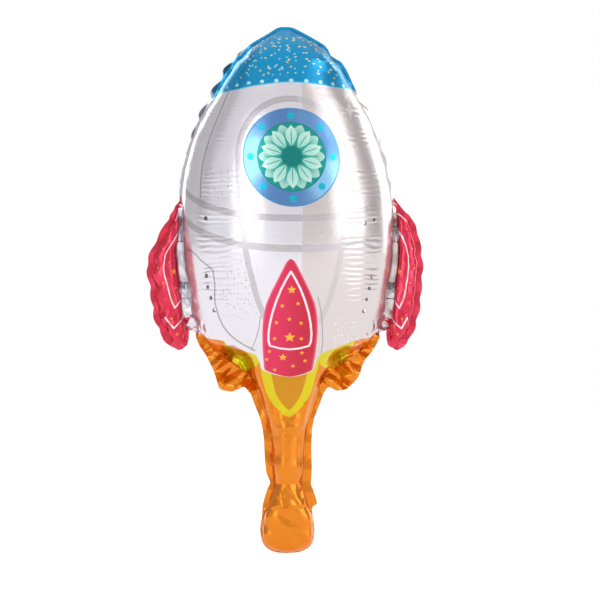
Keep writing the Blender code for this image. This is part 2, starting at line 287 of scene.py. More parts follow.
# %% The cut edge, one side at a time
BODY_MARGIN, NOSE_MARGIN, FIN_MARGIN = 5.2, 4.4, 4.6
FLAMES = {   # outer corners of each flap: distance out from the weld, height
    "left": [(9.5, 103.0), (12.0, 97.0), (23.0, 83.0), (32.5, 66.5), (24.0, 63.5), (10.0, 67.5)],
    "right": [(10.0, 101.0), (13.5, 93.0), (19.5, 86.0), (26.0, 77.0), (25.5, 65.5), (16.5, 63.5), (7.0, 67.5)],
}
MARGIN_ROWS = {   # height, margin beside the handle and round the tail
    "left": [(-76, 2.4), (-60, 3.6), (-36, 4.2), (-20, 4.6), (-13, 2.6), (-6, 5.4), (10, 6.6), (30, 6.4), (45, 5.0), (67, 5.6)],
    "right": [(-76, 2.4), (-60, 3.4), (-38, 2.8), (-36.2, 3.0), (-34.8, 8.6), (-20, 8.0), (0, 7.4), (28, 6.0), (42, 3.6), (67, 4.4)],
}


def cut_side(side):
    """The cut edge from the bottom of the tail to the tip of the nose, on the right half."""
    z, margin = np.array(MARGIN_ROWS[side]).T
    foot = run(half_width, FLAT_V[0], V_FLAME_END - 4, 400)
    foot = moved_out(foot, np.interp(np.interp(foot[:, 1], FLAT_V, BODY_Z), z, margin))
    flap = np.array([(half_width(v_at(h)) + out, v_at(h)) for out, h in FLAMES[side][::-1]])
    below = moved_out(run(half_width, V_FLAME, V_NOTCH), BODY_MARGIN)
    rim = run(fin_outer, FIN_V[0], FIN_V[-1])
    rim_margin = np.interp(rim[:, 1], [FIN_V[0], FIN_V[0] + 14, FIN_V[-1] - 22, FIN_V[-1]], [3.2, FIN_MARGIN, FIN_MARGIN, 1.8])
    fin = [moved_out(run(fin_inner, V_NOTCH - 2, FIN_V[0]), 3.2)[:-8], moved_out(rim, rim_margin)]
    body = moved_out(run(half_width, FIN_V[-1] + 6, V_NOSE), BODY_MARGIN)
    nose = moved_out(run(half_width, V_NOSE, FLAT_V[-1]), NOSE_MARGIN)
    flap = np.concatenate([foot[-1:], flap, below[:1]])
    return joined([foot, flap, below, *fin, body[:-3], nose[3:]])


CUT_LOOP = np.concatenate([cut_side("right"), mirrored(cut_side("left"))])
print("cut edge points:", len(CUT_LOOP))

# %% Lines where one film piece ends and the next begins
def across_at(v, bow=None):
    """A line from seam to seam at a flat height, on exact points of the weld."""
    u = np.linspace(-float(half_width(v)), float(half_width(v)), 60)
    return even(np.stack([u, bow(u) if bow else np.full(len(u), v)], 1), 4.0)


ZONE_LINES = [across_at(V_NOSE, nose_line), across_at(V_BASE), across_at(V_GRIP_END)]
for side in (1, -1):
    for middle in (V_LOW, V_HIGH):
        mouth = even(run(fin_inner, middle - CHANNEL_HALF, middle + CHANNEL_HALF), NEAR_STEP)
        ZONE_LINES.append(mouth * [side, 1])
print("zone lines:", len(ZONE_LINES))

# %% [markdown]
# ## From lines to a mesh
#
# The lines are filled with points, close together near the welds, where the film will pucker,
# and further apart in the middle, where it stays smooth.
# Blender's Delaunay tool joins all the points with triangles and keeps every line as edges.
# Inside the weld there are two films, so those triangles are made twice. They share the points of the weld.
# Outside it the two films are fused into one sheet.

# %% Fill the pattern with points
LINES = [GAS_LOOP, *ISLANDS, CUT_LOOP]
line_points = np.concatenate(LINES + [line[1:-1] for line in ZONE_LINES])
rng = np.random.default_rng(7)


def lattice(step):
    """A slightly uneven triangular grid inside the cut edge, and how far each point is from a line."""
    low, high = CUT_LOOP.min(0), CUT_LOOP.max(0)
    rows = []
    for k, v in enumerate(np.arange(low[1], high[1], step * math.sqrt(3) / 2)):
        u = np.arange(low[0] + (k % 2) * step / 2, high[0], step)
        rows.append(np.stack([u, np.full(len(u), v)], 1))
    points = np.concatenate(rows)
    points += rng.uniform(-0.12 * step, 0.12 * step, points.shape)
    points = points[inside(points, CUT_LOOP)]
    return points, away_from(points, line_points)


def away_from(points, others):
    nearest = np.empty(len(points))
    for k in range(0, len(points), 2000):
        apart = np.linalg.norm(points[k:k + 2000, None] - others[None], axis=2)
        nearest[k:k + 2000] = apart.min(1)
    return nearest


close, close_gap = lattice(NEAR_STEP)
wide, wide_gap = lattice(FAR_STEP)
weld_points = np.concatenate([GAS_LOOP, *ISLANDS])
close = close[(close_gap > 0.62 * NEAR_STEP) & (away_from(close, weld_points) < NEAR_BAND)]
wide = wide[(away_from(wide, weld_points) > NEAR_BAND + 0.5 * FAR_STEP) & (wide_gap > 0.6 * FAR_STEP)]
print("points near the welds:", len(close), "in the middle:", len(wide))

# %% Join them with triangles
points = np.concatenate([*LINES, *ZONE_LINES, close, wide])
edges, first = [], 0
for line in LINES:
    edges += [(first + k, first + (k + 1) % len(line)) for k in range(len(line))]
    first += len(line)
for line in ZONE_LINES:
    edges += [(first + k, first + k + 1) for k in range(len(line) - 1)]
    first += len(line)
verts, _, tris, *_ = delaunay_2d_cdt([Vector(p) for p in points], edges, [], 0, 0.05)
flat = np.array([tuple(p) for p in verts])
tris = np.array([t for t in tris if len(t) == 3])
middle = flat[tris].mean(1)
tris, middle = (x[inside(middle, CUT_LOOP)] for x in (tris, middle))
a, b, c = (flat[tris[:, k]] for k in range(3))
turn = (b[:, 0] - a[:, 0]) * (c[:, 1] - a[:, 1]) - (b[:, 1] - a[:, 1]) * (c[:, 0] - a[:, 0])
tris = np.where(turn[:, None] < 0, tris[:, ::-1], tris)
filled = inside(middle, GAS_LOOP) & ~inside(middle, ISLANDS[0]) & ~inside(middle, ISLANDS[1])
print("triangles with gas:", filled.sum(), "fused:", (~filled).sum())

# %% Two films over the gas, one fused margin
FRONT, FUSED = tris[filled], tris[~filled]
on_fused, on_gas = np.zeros(len(flat), bool), np.zeros(len(flat), bool)
on_fused[FUSED.ravel()] = True
on_gas[FRONT.ravel()] = True
free = np.where(on_gas & ~on_fused)[0]
back_of = np.arange(len(flat))
back_of[free] = len(flat) + np.arange(len(free))
BACK = back_of[FRONT][:, ::-1]
SIDE = np.concatenate([np.where(on_gas & ~on_fused, -1.0, 0.0), np.ones(len(free))])
FLAT = np.concatenate([flat, flat[free]])
WELD_POINTS = np.where(on_gas & on_fused)[0]
FACES = np.concatenate([FRONT, BACK, FUSED])
used = np.zeros(len(FLAT), bool)
used[FACES.ravel()] = True
print("film mesh:", len(FLAT), "points,", len(FACES), "triangles, unused points:", (~used).sum())

# %% How far each point is from the weld, and how far along it
lengths = [np.concatenate([[0], np.cumsum(np.linalg.norm(np.diff(line, axis=0), axis=1))]) for line in LINES[:3]]
lengths = np.concatenate(lengths)
FROM_WELD, ALONG_WELD = np.empty(len(FLAT)), np.empty(len(FLAT))
for k in range(0, len(FLAT), 2000):
    apart = np.linalg.norm(FLAT[k:k + 2000, None] - weld_points[None], axis=2)
    FROM_WELD[k:k + 2000] = apart.min(1)
    ALONG_WELD[k:k + 2000] = lengths[apart.argmin(1)]

# %% [markdown]
# ## Blowing it up
#
# Blender's Cloth keeps the lengths of the flat pattern and pushes the two films apart with gas pressure.
# The start is a smooth balloon with the right sections, so the film settles close to the real outline.
# The welds start with a faint wave from side to side. Without one the spare length wouldn't know which way to go.
# The grip's welds are held, as by a hand, so that the balloon stays where it is.
# Cloth works best on things about a metre or more in size, so the balloon is simulated ten times too big.

# %% A smooth balloon to start from
def puffed():
    u, v = np.abs(FLAT[:, 0]), FLAT[:, 1]
    z = np.interp(v, FLAT_V, BODY_Z)
    beyond = np.maximum(v - FLAT_V[-1], 0) - np.maximum(FLAT_V[0] - v, 0)
    w = half_width(np.clip(v, FLAT_V[0], FLAT_V[-1]))
    width, depth = np.interp(z, BODY_Z, BODY_W), np.interp(z, BODY_Z, BODY_D)
    turn = np.clip(u / w, 0, 1) * math.pi / 2
    x, y = width * np.sin(turn) + np.maximum(u - w, 0), depth * np.cos(turn)
    y = np.where(u > w, 0, y)
    by_fin = (v >= FIN_V[0]) & (v <= FIN_V[-1]) & (u > w)
    inner, outer = fin_inner(v), fin_outer(v)
    fin_z = np.interp(v, FIN_V, FIN_Z)
    x_in, x_out, fin_depth = (np.interp(fin_z, FIN_Z, row) for row in (FIN_IN, FIN_OUT, FIN_D))
    strip = by_fin & (u <= inner)
    x = np.where(strip, width + (x_in - width) * (u - w) / (inner - w), x)
    part = np.clip((u - inner) / np.maximum(outer - inner, 1e-6), 0, 1)
    fin = by_fin & (u > inner)
    x = np.where(fin, x_in + (x_out - x_in) * (1 - np.cos(math.pi * part)) / 2 + np.maximum(u - outer, 0), x)
    y = np.where(fin, fin_depth * np.sin(math.pi * part), y)
    return np.stack([np.sign(FLAT[:, 0]) * x, SIDE * np.maximum(y, 0.15), z + beyond], 1)


PUCKER_PITCH = 22.0   # flat length of one wave of the seam, in mm
PUCKER_START = 1.0
smooth = puffed()
rng = np.random.default_rng(5)
start = smooth.copy()
start[:, 1] += rng.normal(0, 0.05, len(start))
start[:, 1] += PUCKER_START * np.sin(math.tau * ALONG_WELD / PUCKER_PITCH) * np.exp(-(FROM_WELD / 10) ** 2)
print("start size in mm:", np.ptp(start, axis=0).round(1))

# %% The cloth
SIM_SCALE = 0.01
SIM_FRAMES = 50


def blown_up(start):
    """The film after gas has been let in, in millimetres."""
    mesh = bpy.data.meshes.new("film")
    mesh.from_pydata((start * SIM_SCALE).tolist(), [], FACES.tolist())
    film = bpy.data.objects.new("film", mesh)
    bpy.context.scene.collection.objects.link(film)
    film.shape_key_add(name="start")
    pattern = film.shape_key_add(name="flat pattern")
    laid_flat = np.stack([FLAT[:, 0], np.zeros(len(FLAT)), FLAT[:, 1]], 1) * SIM_SCALE
    pattern.data.foreach_set("co", laid_flat.ravel())
    held = [i for i in WELD_POINTS if abs(FLAT[i, 1]) < 12]
    groups = {"gas": np.unique([FRONT, BACK]), "held": held, "fused": np.unique(FUSED)}
    for name, members in groups.items():
        film.vertex_groups.new(name=name).add([int(i) for i in members], 1.0, "REPLACE")
    cloth = film.modifiers.new("cloth", "CLOTH")
    feel = cloth.settings
    feel.rest_shape_key = pattern
    feel.quality, feel.mass, feel.air_damping = 3, 0.002, 1.0
    feel.tension_stiffness = feel.compression_stiffness = feel.shear_stiffness = 80
    feel.bending_stiffness, feel.bending_stiffness_max, feel.vertex_group_bending = 2, 10, "fused"
    feel.tension_damping = feel.compression_damping = feel.shear_damping = 5
    feel.bending_damping = 0.5
    feel.vertex_group_mass = "held"
    feel.use_pressure, feel.uniform_pressure_force, feel.vertex_group_pressure = True, 5, "gas"
    feel.effector_weights.gravity = 0
    cloth.collision_settings.use_collision = False
    cloth.point_cache.frame_start, cloth.point_cache.frame_end = 1, SIM_FRAMES
    scene = bpy.context.scene
    scene.frame_start, scene.frame_end = 1, SIM_FRAMES
    for number in range(1, SIM_FRAMES + 1):
        scene.frame_set(number)
    done = film.evaluated_get(bpy.context.evaluated_depsgraph_get()).to_mesh()
    found = np.empty(len(done.vertices) * 3, np.float32)
    done.vertices.foreach_get("co", found)
    bpy.data.objects.remove(film, do_unlink=True)
    scene.frame_set(1)
    return found.reshape(-1, 3).astype(float) / SIM_SCALE


began = time.time()
shape = blown_up(start)
print("blown-up size in mm:", np.ptp(shape, axis=0).round(1), "in", round(time.time() - began, 1), "s")

# %% [markdown]
# ## Holding it to size
#
# The film shrinks a little where it puckers, by a few millimetres that vary from place to place.
# The seams are therefore measured along the height, smoothed so that no pucker is touched,
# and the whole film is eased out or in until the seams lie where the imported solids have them.

# %% Mean position of a group of points along the height
def smooth_mean(z, value, at, spread=9.0):
    weight = np.exp(-0.5 * ((at[:, None] - z[None]) / spread) ** 2)
    return (weight * value).sum(1) / np.maximum(weight.sum(1), 1e-9)


def on_line(across, tolerance=0.8):
    """Weld points that lie on one of the named lines."""
    u, v = np.abs(FLAT[WELD_POINTS, 0]), FLAT[WELD_POINTS, 1]
    return WELD_POINTS[np.abs(u - across(v)) < tolerance]


FOLD_GAIN = 2.0   # the body's margins fold back, so the films reach this much further out


def fitted(shape):
    seam_y = np.polyfit(shape[WELD_POINTS, 2], shape[WELD_POINTS, 1], 2)
    shape = shape - [shape[WELD_POINTS, 0].mean(), 0, 0]
    shape[:, 1] -= np.polyval(seam_y, shape[:, 2])
    low, high = (shape[WELD_POINTS, 2].min(), shape[WELD_POINTS, 2].max())
    z = shape[:, 2]
    up = np.where(z > 0, z * (body_high - 0.5) / high, z * (body_low + 0.5) / low)
    shape = np.column_stack([shape[:, 0], shape[:, 1], up])
    at = np.arange(body_low + 6, body_high - 5, 4.0)
    seam = on_line(half_width)
    seam_x = smooth_mean(shape[seam, 2], np.abs(shape[seam, 0]), at)
    wanted = np.interp(at, BODY_Z, BODY_W) + FOLD_GAIN * np.interp(at, [100, 130, 270, 330], [0, 1, 1, -0.5])
    wanted = smooth_mean(at, wanted, at, 5.0)
    grow = np.interp(shape[:, 2], at, wanted - seam_x)
    width = np.interp(shape[:, 2], at, seam_x)
    x = np.abs(shape[:, 0])
    moved = x + grow * np.clip(x / np.maximum(width, 1e-6), 0, 1)
    rim = on_line(fin_outer)
    rim = rim[(FLAT[rim, 1] > FIN_V[0] + 3) & (FLAT[rim, 1] < FIN_V[-1] - 3)]
    rim_at = np.linspace(FIN_Z[1], FIN_Z[-2], 20)
    rim_x = smooth_mean(shape[rim, 2], moved[rim], rim_at)
    more = np.interp(shape[:, 2], rim_at, np.interp(rim_at, FIN_Z, FIN_OUT) - rim_x)
    by_fin = np.interp(shape[:, 2], [FIN_Z[0] - 20, FIN_Z[0], FIN_Z[-1], FIN_Z[-1] + 20], [0, 1, 1, 0])
    reach = np.clip((np.abs(FLAT[:, 0]) - half_width(FLAT[:, 1])) / 36.0, 0, 1)
    shape[:, 0] = np.sign(shape[:, 0]) * (moved + more * by_fin * reach)
    crest = (np.abs(FLAT[:, 0]) < 14) & (SIDE != 0)
    depth = smooth_mean(shape[crest, 2], np.abs(shape[crest, 1]), at)
    wanted = smooth_mean(at, np.interp(at, BODY_Z, BODY_D), at, 5.0)
    shape[:, 1] *= np.interp(shape[:, 2], at, wanted / depth)
    print("seam moved out by up to", round(float((wanted - depth).max()), 1), "in depth and",
          round(float(np.abs(grow).max()), 1), "mm in width")
    return shape


shape = fitted(shape)
print("fitted size in mm:", np.ptp(shape, axis=0).round(1))

# %% [markdown]
# ## Folded margins, lobes and a slight lean
#
# On this balloon the margin beside the body is folded back, so that hardly any of it shows from the front.
# Between two puckers the back film stands out past the weld in round lobes, most of all beside the nose.
# The nose leans a few millimetres to the left. All of this is pushed on after the simulation,
# because none of it comes from gas: it comes from how the balloon was packed and handled.

# %% Nearest weld point of every point
def nearest_weld(shape):
    """For every point, the place of the closest weld point on the flat pattern."""
    flat_weld = FLAT[WELD_POINTS]
    found = np.empty(len(FLAT), int)
    for k in range(0, len(FLAT), 2000):
        found[k:k + 2000] = np.linalg.norm(FLAT[k:k + 2000, None] - flat_weld[None], axis=2).argmin(1)
    return shape[WELD_POINTS[found]]


def ramp(value, low, high):
    """A smooth step from 0 to 1."""
    t = np.clip((value - low) / (high - low), 0, 1)
    return t * t * (3 - 2 * t)


# %% Fold, lobes and lean
FOLD_ANGLE = math.radians(62)
LOBE_PITCH, LOBE_HEIGHT = 25.0, 11.0
root = nearest_weld(shape)
v = FLAT[:, 1]
beside_body = ramp(v, FIN_V[-1] - 4, FIN_V[-1] + 10)
at_notch = ramp(v, V_FLAME - 1, V_FLAME + 4) * (1 - ramp(v, V_NOTCH + 1, V_NOTCH + 5)) * (np.abs(FLAT[:, 0]) < half_width(v) + 8)
at_tail = 1 - ramp(v, V_GRIP_END - 26, V_GRIP_END - 20)
fused_point = (SIDE == 0) & (FROM_WELD > 0.5)
out = shape - root
reach = np.linalg.norm(out, axis=1)
share = np.where(fused_point, np.maximum(beside_body, np.maximum(at_notch, at_tail)), 0)[:, None]
folded = root + out * math.cos(FOLD_ANGLE) + np.column_stack([0 * v, reach * math.sin(FOLD_ANGLE), 0 * v])
shape = shape * (1 - share) + folded * share
outward = np.column_stack([np.sign(FLAT[:, 0]) * 0.85, 0 * v, 0.5 * ramp(v, V_NOSE - 40, FLAT_V[-1])])
outward /= np.linalg.norm(outward, axis=1)[:, None]
lobe = np.abs(np.sin(math.pi * ALONG_WELD / LOBE_PITCH)) ** 0.8
belly = np.sin(math.pi * np.clip(FROM_WELD / 30.0, 0, 1)) ** 1.2
left = np.where(FLAT[:, 0] < 0, 1.0, 0.5)
height = LOBE_HEIGHT * (0.5 + 0.3 * ramp(v, V_NOSE - 60, V_NOSE)) * left * beside_body
shape += outward * (height * lobe * belly * (SIDE > 0))[:, None]
LEAN = 3.5
shape[:, 0] -= LEAN * ramp(shape[:, 2], 150, 390)
print("dressed size in mm:", np.ptp(shape, axis=0).round(1))

# %% [markdown]
# ## Where it isn't even
#
# The real balloon isn't the same left and right. Its right shoulder is fuller, its left fin is pinched at the top,
# and its tail is round where the margin has turned under. These few rows push the film sideways, level by level.
# The fins' edges are scalloped, because the squeezed film gathers there in short waves.

# %% Uneven sides
SHOULDER = [(285, 0.0), (312, 2.6), (335, 3.0), (352, 5.5), (366, 6.5), (378, 4.0), (384, 0.0)]
LEFT_FIN = [(116, 0.0), (150, 0.0), (170, 2.2), (184, 1.6), (192, -0.5), (204, -3.2), (222, -3.6), (234, -1.0)]
RIGHT_FIN = [(104, -1.0), (130, -3.0), (172, -3.0), (192, -1.6), (204, 0.0), (226, 1.6), (236, 1.0)]
TAIL = [(-78, 1.6), (-52, 2.4), (-40, 1.2), (-34, 0.0)]


def rows_at(z, rows):
    return np.interp(z, *np.array(rows).T)


x, z, side = shape[:, 0], shape[:, 2], np.sign(FLAT[:, 0])
near_edge = np.clip(np.abs(x) / np.interp(z, BODY_Z, BODY_W), 0, 1)
fin_share = np.clip((np.abs(FLAT[:, 0]) - fin_inner(v)) / 12, 0, 1) * ((v > FIN_V[0] - 12) & (v < FIN_V[-1] + 8))
push = np.where(side > 0, rows_at(z, SHOULDER), 0) * near_edge + rows_at(z, TAIL) * near_edge * (z < -34)
push += fin_share * np.where(side > 0, rows_at(z, RIGHT_FIN), rows_at(z, LEFT_FIN))
fin_edge = np.clip((np.abs(FLAT[:, 0]) - fin_outer(v) + 16) / 14, 0, 1) * (fin_share > 0)
push += 2.4 * fin_edge * (np.abs(np.sin(math.pi * (v - 4 * side) / 19)) ** 0.7 - 0.62)
shape[:, 0] += side * push
shape[:, 2] += 2.2 * np.exp(-(x / 16) ** 2) * ramp(z, 368, 382)
print("pushed by up to", np.abs(push).max().round(1), "mm")

# %% [markdown]
# ## Taut in the middle, gathered at the welds
#
# Gas pressure pulls the middle of the front film taut and smooth, while the spare length is gathered along the welds.
# So the middle is averaged with its neighbours a few times. Points only move along their normal, because a slide
# along the film would bend the print. Then small puckers run in from the weld,
# each one a rounded swell between two pinched valleys.

# %% Calm the front film
pairs = np.concatenate([FACES[:, [0, 1]], FACES[:, [1, 2]], FACES[:, [2, 0]]])
pairs = np.unique(np.sort(pairs, axis=1), axis=0)
pairs = np.concatenate([pairs, pairs[:, ::-1]])
neighbours = np.bincount(pairs[:, 0], minlength=len(shape))[:, None]
calm = 0.5 * (SIDE < 0) * ramp(FROM_WELD, 5, 20)
calm = np.maximum(calm, 0.4 * (SIDE <= 0) * (FROM_WELD < 25) * ramp(v, V_NOSE - 15, V_NOSE + 5))
corners = shape[FACES]
face_normal = np.cross(corners[:, 1] - corners[:, 0], corners[:, 2] - corners[:, 0])
normal = sum(np.column_stack([np.bincount(FACES[:, k], face_normal[:, i], len(shape)) for i in range(3)]) for k in range(3))
normal[SIDE == 0] = (0, 1, 0)
normal /= np.linalg.norm(normal, axis=1)[:, None] + 1e-9
before = shape.copy()
for _ in range(20):
    total = np.column_stack([np.bincount(pairs[:, 0], shape[pairs[:, 1], i], len(shape)) for i in range(3)])
    step = ((total / neighbours - shape) * normal).sum(1)
    shape += normal * (calm * step)[:, None]
print("smoothing moved the film by up to", np.abs(shape - before).max().round(2), "mm")

# %% Puckers along the weld
PUCKER, PUCKER_PITCH = 1.5, 15.0
swell = np.abs(np.sin(math.pi * ALONG_WELD / PUCKER_PITCH)) ** 0.7 - 0.66
swell *= np.exp(-FROM_WELD / 9.0) * ramp(FROM_WELD, 0, 4) * (SIDE < 0)
where = ramp(v, 70, 112) * (0.35 + 0.65 * (1 - ramp(v, 240, 300)))
shape[:, 1] -= PUCKER * 2.2 * swell * where
print("deepest pucker:", (PUCKER * 2.2 * (swell * where).min()).round(2), "mm")

# %% [markdown]
# ## Crumpled flaps and creases
#
# The flaps at the foot are loose film without gas in it, so they lie nearly flat and are crumpled like paper.
# A crumple is made of flat facets between sharp folds. Three zigzag waves that cross each other give such facets.
# Where the hand holds the handle, the film is creased too: a lip lies over the top of the grip and another over
# the tail, pleats run down the funnel and the tube, and the tail has a few dents.

# %% Press the flaps flat
across = np.abs(FLAT[:, 0])
FOOT = [(20, 86), (26, 104), (33, 107), (45, 111), (63, 116), (79, 119), (98, 124)]   # where the flaps begin
foot_line = np.interp(across, *zip(*FOOT))
beside = ramp(across, 28, 40) * ramp(v, V_FLAME_END - 9, V_FLAME_END + 2)
shape[:, 1] *= 1 - 0.85 * ramp(foot_line - v, -1, 12) * beside
print("pressed points:", int((beside * (foot_line > v) > 0.1).sum()))

# %% [markdown]
# ## One piece for each film and margin
#
# The whole film is subdivided once, while it is still one mesh, so that neighbours keep a common edge.
# Then it is parted by zone: a front and a back film for each colour, and the fused margins between them.
# The flat place of every point is kept as a UV map in millimetres divided by 500, which is what the print reads.
# Last, each piece gets a thin wall, so that it is a closed body and not a paper-thin surface.
# The wall's rims are marked sharp. Otherwise their turned faces would drag the shading of the film beside them.

# %% Which piece a triangle belongs to
def zone_of(u, v, kind):
    side = "left" if u < 0 else "right"
    u = abs(u)
    at_fin = FIN_V[0] - 9 < v < FIN_V[-1] + 9
    if kind != "seal":
        if at_fin and u > fin_inner(v):
            return f"fin_{side}_{kind}"
        body = "nose" if v > nose_line(u) else "hull" if v > V_BASE else "handle" if v > V_GRIP_END else "tail"
        return f"{body}_{kind}"
    w, inner = half_width(v), fin_inner(v)
    if at_fin and v < V_NOTCH and u - w > inner - u:
        return f"fin_seal_{side}"
    if at_fin and v >= V_NOTCH and u > (w + inner) / 2:
        strip = "lower" if v < V_LOW else "middle" if v < V_HIGH else "upper"
        return f"fin_seal_{side}" if u > inner or v > FIN_V[-1] else f"weld_{side}_{strip}"
    if at_fin and V_NOTCH <= v < FIN_V[-1] and u > w - 0.5:
        strip = "lower" if v < V_LOW else "middle" if v < V_HIGH else "upper"
        return f"weld_{side}_{strip}"
    if v > V_NOSE:
        return "nose_seal"
    for low, name in ((FIN_V[-1], "hull_seal"), (V_FLAME, "notch_seal"), (V_FLAME_END, "flame"),
                      (V_GRIP_END, "handle_seal")):
        if v > low:
            return f"{name}_{side}"
    return "tail_seal"


kinds = ["front"] * len(FRONT) + ["back"] * len(BACK) + ["seal"] * len(FUSED)
centres = FLAT[FACES].mean(1)
names = [zone_of(u, v, kind) for (u, v), kind in zip(centres, kinds)]
NODE_NAMES = sorted(set(names))
zone_number = np.array([NODE_NAMES.index(name) for name in names])
print("pieces:", len(NODE_NAMES), "solids without one:", sorted(set(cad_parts) - set(NODE_NAMES)))

# %% Where the print lies on the film
def print_across(u, v, steps=24):
    """How far a flat place lies from the middle line, measured over the round balloon."""
    z = np.interp(v, FLAT_V, BODY_Z)
    width, depth = np.interp(z, BODY_Z, BODY_W), np.interp(z, BODY_Z, BODY_D)
    w = half_width(np.clip(v, FLAT_V[0], FLAT_V[-1]))
    turn = np.clip(np.abs(u) / w, 0, 1) * math.pi / 2
    at = turn[:, None] * (np.arange(steps) + 0.5) / steps
    length = np.sqrt((width[:, None] * np.cos(at)) ** 2 + (depth[:, None] * np.sin(at)) ** 2).mean(1) * turn
    return np.sign(u) * (length + np.maximum(np.abs(u) - w, 0))


# %% Subdivide the whole film
UV_SPAN = 500.0
film_mesh = bpy.data.meshes.new("whole_film")
film_mesh.from_pydata((shape * MM).tolist(), [], FACES.tolist())
layer = film_mesh.uv_layers.new(name="print")
PRINT = np.column_stack([print_across(FLAT[:, 0], FLAT[:, 1]), FLAT[:, 1]])
corner_flat = PRINT[FACES.ravel()] / UV_SPAN + 0.5
layer.data.foreach_set("uv", corner_flat.astype(np.float32).ravel())
zones = film_mesh.attributes.new("zone", "INT", "FACE")
zones.data.foreach_set("value", zone_number.astype(np.int32))
whole = bpy.data.objects.new("whole_film", film_mesh)
bpy.context.scene.collection.objects.link(whole)
rounder = whole.modifiers.new("rounder", "SUBSURF")
rounder.levels = rounder.render_levels = 1
rounder.uv_smooth = "SMOOTH_ALL"
fine = bpy.data.meshes.new_from_object(whole.evaluated_get(bpy.context.evaluated_depsgraph_get()))
bpy.data.objects.remove(whole, do_unlink=True)
fine_co = np.empty(len(fine.vertices) * 3, np.float32)
fine.vertices.foreach_get("co", fine_co)
fine_co = fine_co.reshape(-1, 3)
fine_faces = np.empty(len(fine.loops), np.int32)
fine.loops.foreach_get("vertex_index", fine_faces)
fine_faces = fine_faces.reshape(-1, 4)
fine_uv = np.empty(len(fine.loops) * 2, np.float32)
fine.uv_layers["print"].data.foreach_get("uv", fine_uv)
fine_uv = fine_uv.reshape(-1, 4, 2)
fine_zone = np.empty(len(fine_faces), np.int32)
fine.attributes["zone"].data.foreach_get("value", fine_zone)
fine_print = np.zeros((len(fine_co), 2))
fine_print[fine_faces.ravel()] = (fine_uv.reshape(-1, 2) - 0.5) * UV_SPAN
film_of = np.array([-1.0 if "front" in name else 1.0 if "back" in name else 0.0 for name in NODE_NAMES])[fine_zone]
fine_side = np.zeros(len(fine_co))
for value in (-1.0, 1.0, 0.0):
    fine_side[fine_faces[film_of == value].ravel()] = value
print("subdivided film:", len(fine_co), "points", len(fine_faces), "faces")

# %% Crumples and the hem
def zigzag(value):
    """A wave with straight flanks."""
    return np.arcsin(np.sin(value)) / (math.pi / 2)


u, v = fine_print.T
across = np.abs(u)
foot_line = np.interp(across, *zip(*FOOT))
beside = ramp(across, 28, 40) * ramp(v, V_FLAME_END - 9, V_FLAME_END + 2)
loose = ramp(foot_line - v, 2, 20) * beside
CRUMPLES = [(0.92, 0.38, 27.0, 4.0), (0.35, -0.94, 21.0, 2.0), (0.6, 0.8, 12.0, 1.0)]   # direction, pitch, height
crumple = sum(much * zigzag(math.tau * (across * du + v * dv + 4 * np.sign(u)) / pitch)
              for du, dv, pitch, much in CRUMPLES)
hem = np.exp(-((v - foot_line - 7) / 7.0) ** 2) * ramp(across, 26, 40) * (fine_side < 0)
swell = 1.2 + 2.6 * (np.abs(np.sin(math.pi * (across + 0.4 * v) / 12.5)) ** 0.7 - 0.66)
fine_co[:, 1] += MM * (loose * crumple - hem * swell)
print("crumpled points:", int((loose > 0.1).sum()), "hem points:", int((hem > 0.1).sum()))

# %% Creases on the handle and the tail
x, z = fine_co[:, 0] / MM, fine_co[:, 2] / MM
front = (fine_side < 0) * 1.0
middle = np.exp(-((x + 0.8) / 15.0) ** 4)
offset = np.zeros(len(fine_co))
LIPS = [(33.0, 2.6, 9.0), (-34.5, 2.6, 8.0)]   # height, push, how far up it fades
for height, much, fade in LIPS:
    above = z - height - 0.06 * x
    lip = np.where(above > 0, np.exp(-np.maximum(above, 0) / fade), np.exp(-(above / 1.2) ** 2))
    offset += fine_side * much * lip * middle
pleat = np.cos(math.tau * 2.6 * u / half_width(np.clip(v, FLAT_V[0], FLAT_V[-1])) + 0.6)
offset += 1.5 * front * ramp(v, 34, 44) * (1 - ramp(v, 66, 80)) * pleat * ramp(across, 8, 16)
FLUTES = [(-13.0, 2.8, 1.6), (-6.0, 3.4, -0.9), (4.0, 3.4, 0.5), (10.5, 2.6, 1.5), (14.5, 2.2, -1.2)]   # x, width, depth
tube = front * ramp(z, -32, -24) * (1 - ramp(z, 27, 33))
for flute_x, wide, deep in FLUTES:
    offset += tube * deep * np.exp(-((x - flute_x) / wide) ** 2)
DENTS = [(-9, -24, 5, -1.8), (-2, -45, 5, 1.6), (9, -50, 6, 1.4), (8, -64, 5, 2.0), (-13, -58, 7, 0.9),
         (12, -26, 5, 1.2), (-14, -12, 6, 2.6), (2, -20, 4, -1.0), (-6, -33, 4, -1.2), (6, -32, 4, 1.4)]
for dent_x, dent_z, size, deep in DENTS:
    gap = np.hypot(x - dent_x, (z - dent_z) + 0.6 * (x - dent_x))
    offset += front * deep * np.exp(-(gap / size) ** 2)
fine_co[:, 1] += MM * offset
print("creases:", len(LIPS), "lips,", len(FLUTES), "flutes,", len(DENTS), "dents")

# %% Part it
FILM_WALL, FUSED_WALL = 0.2, 0.35


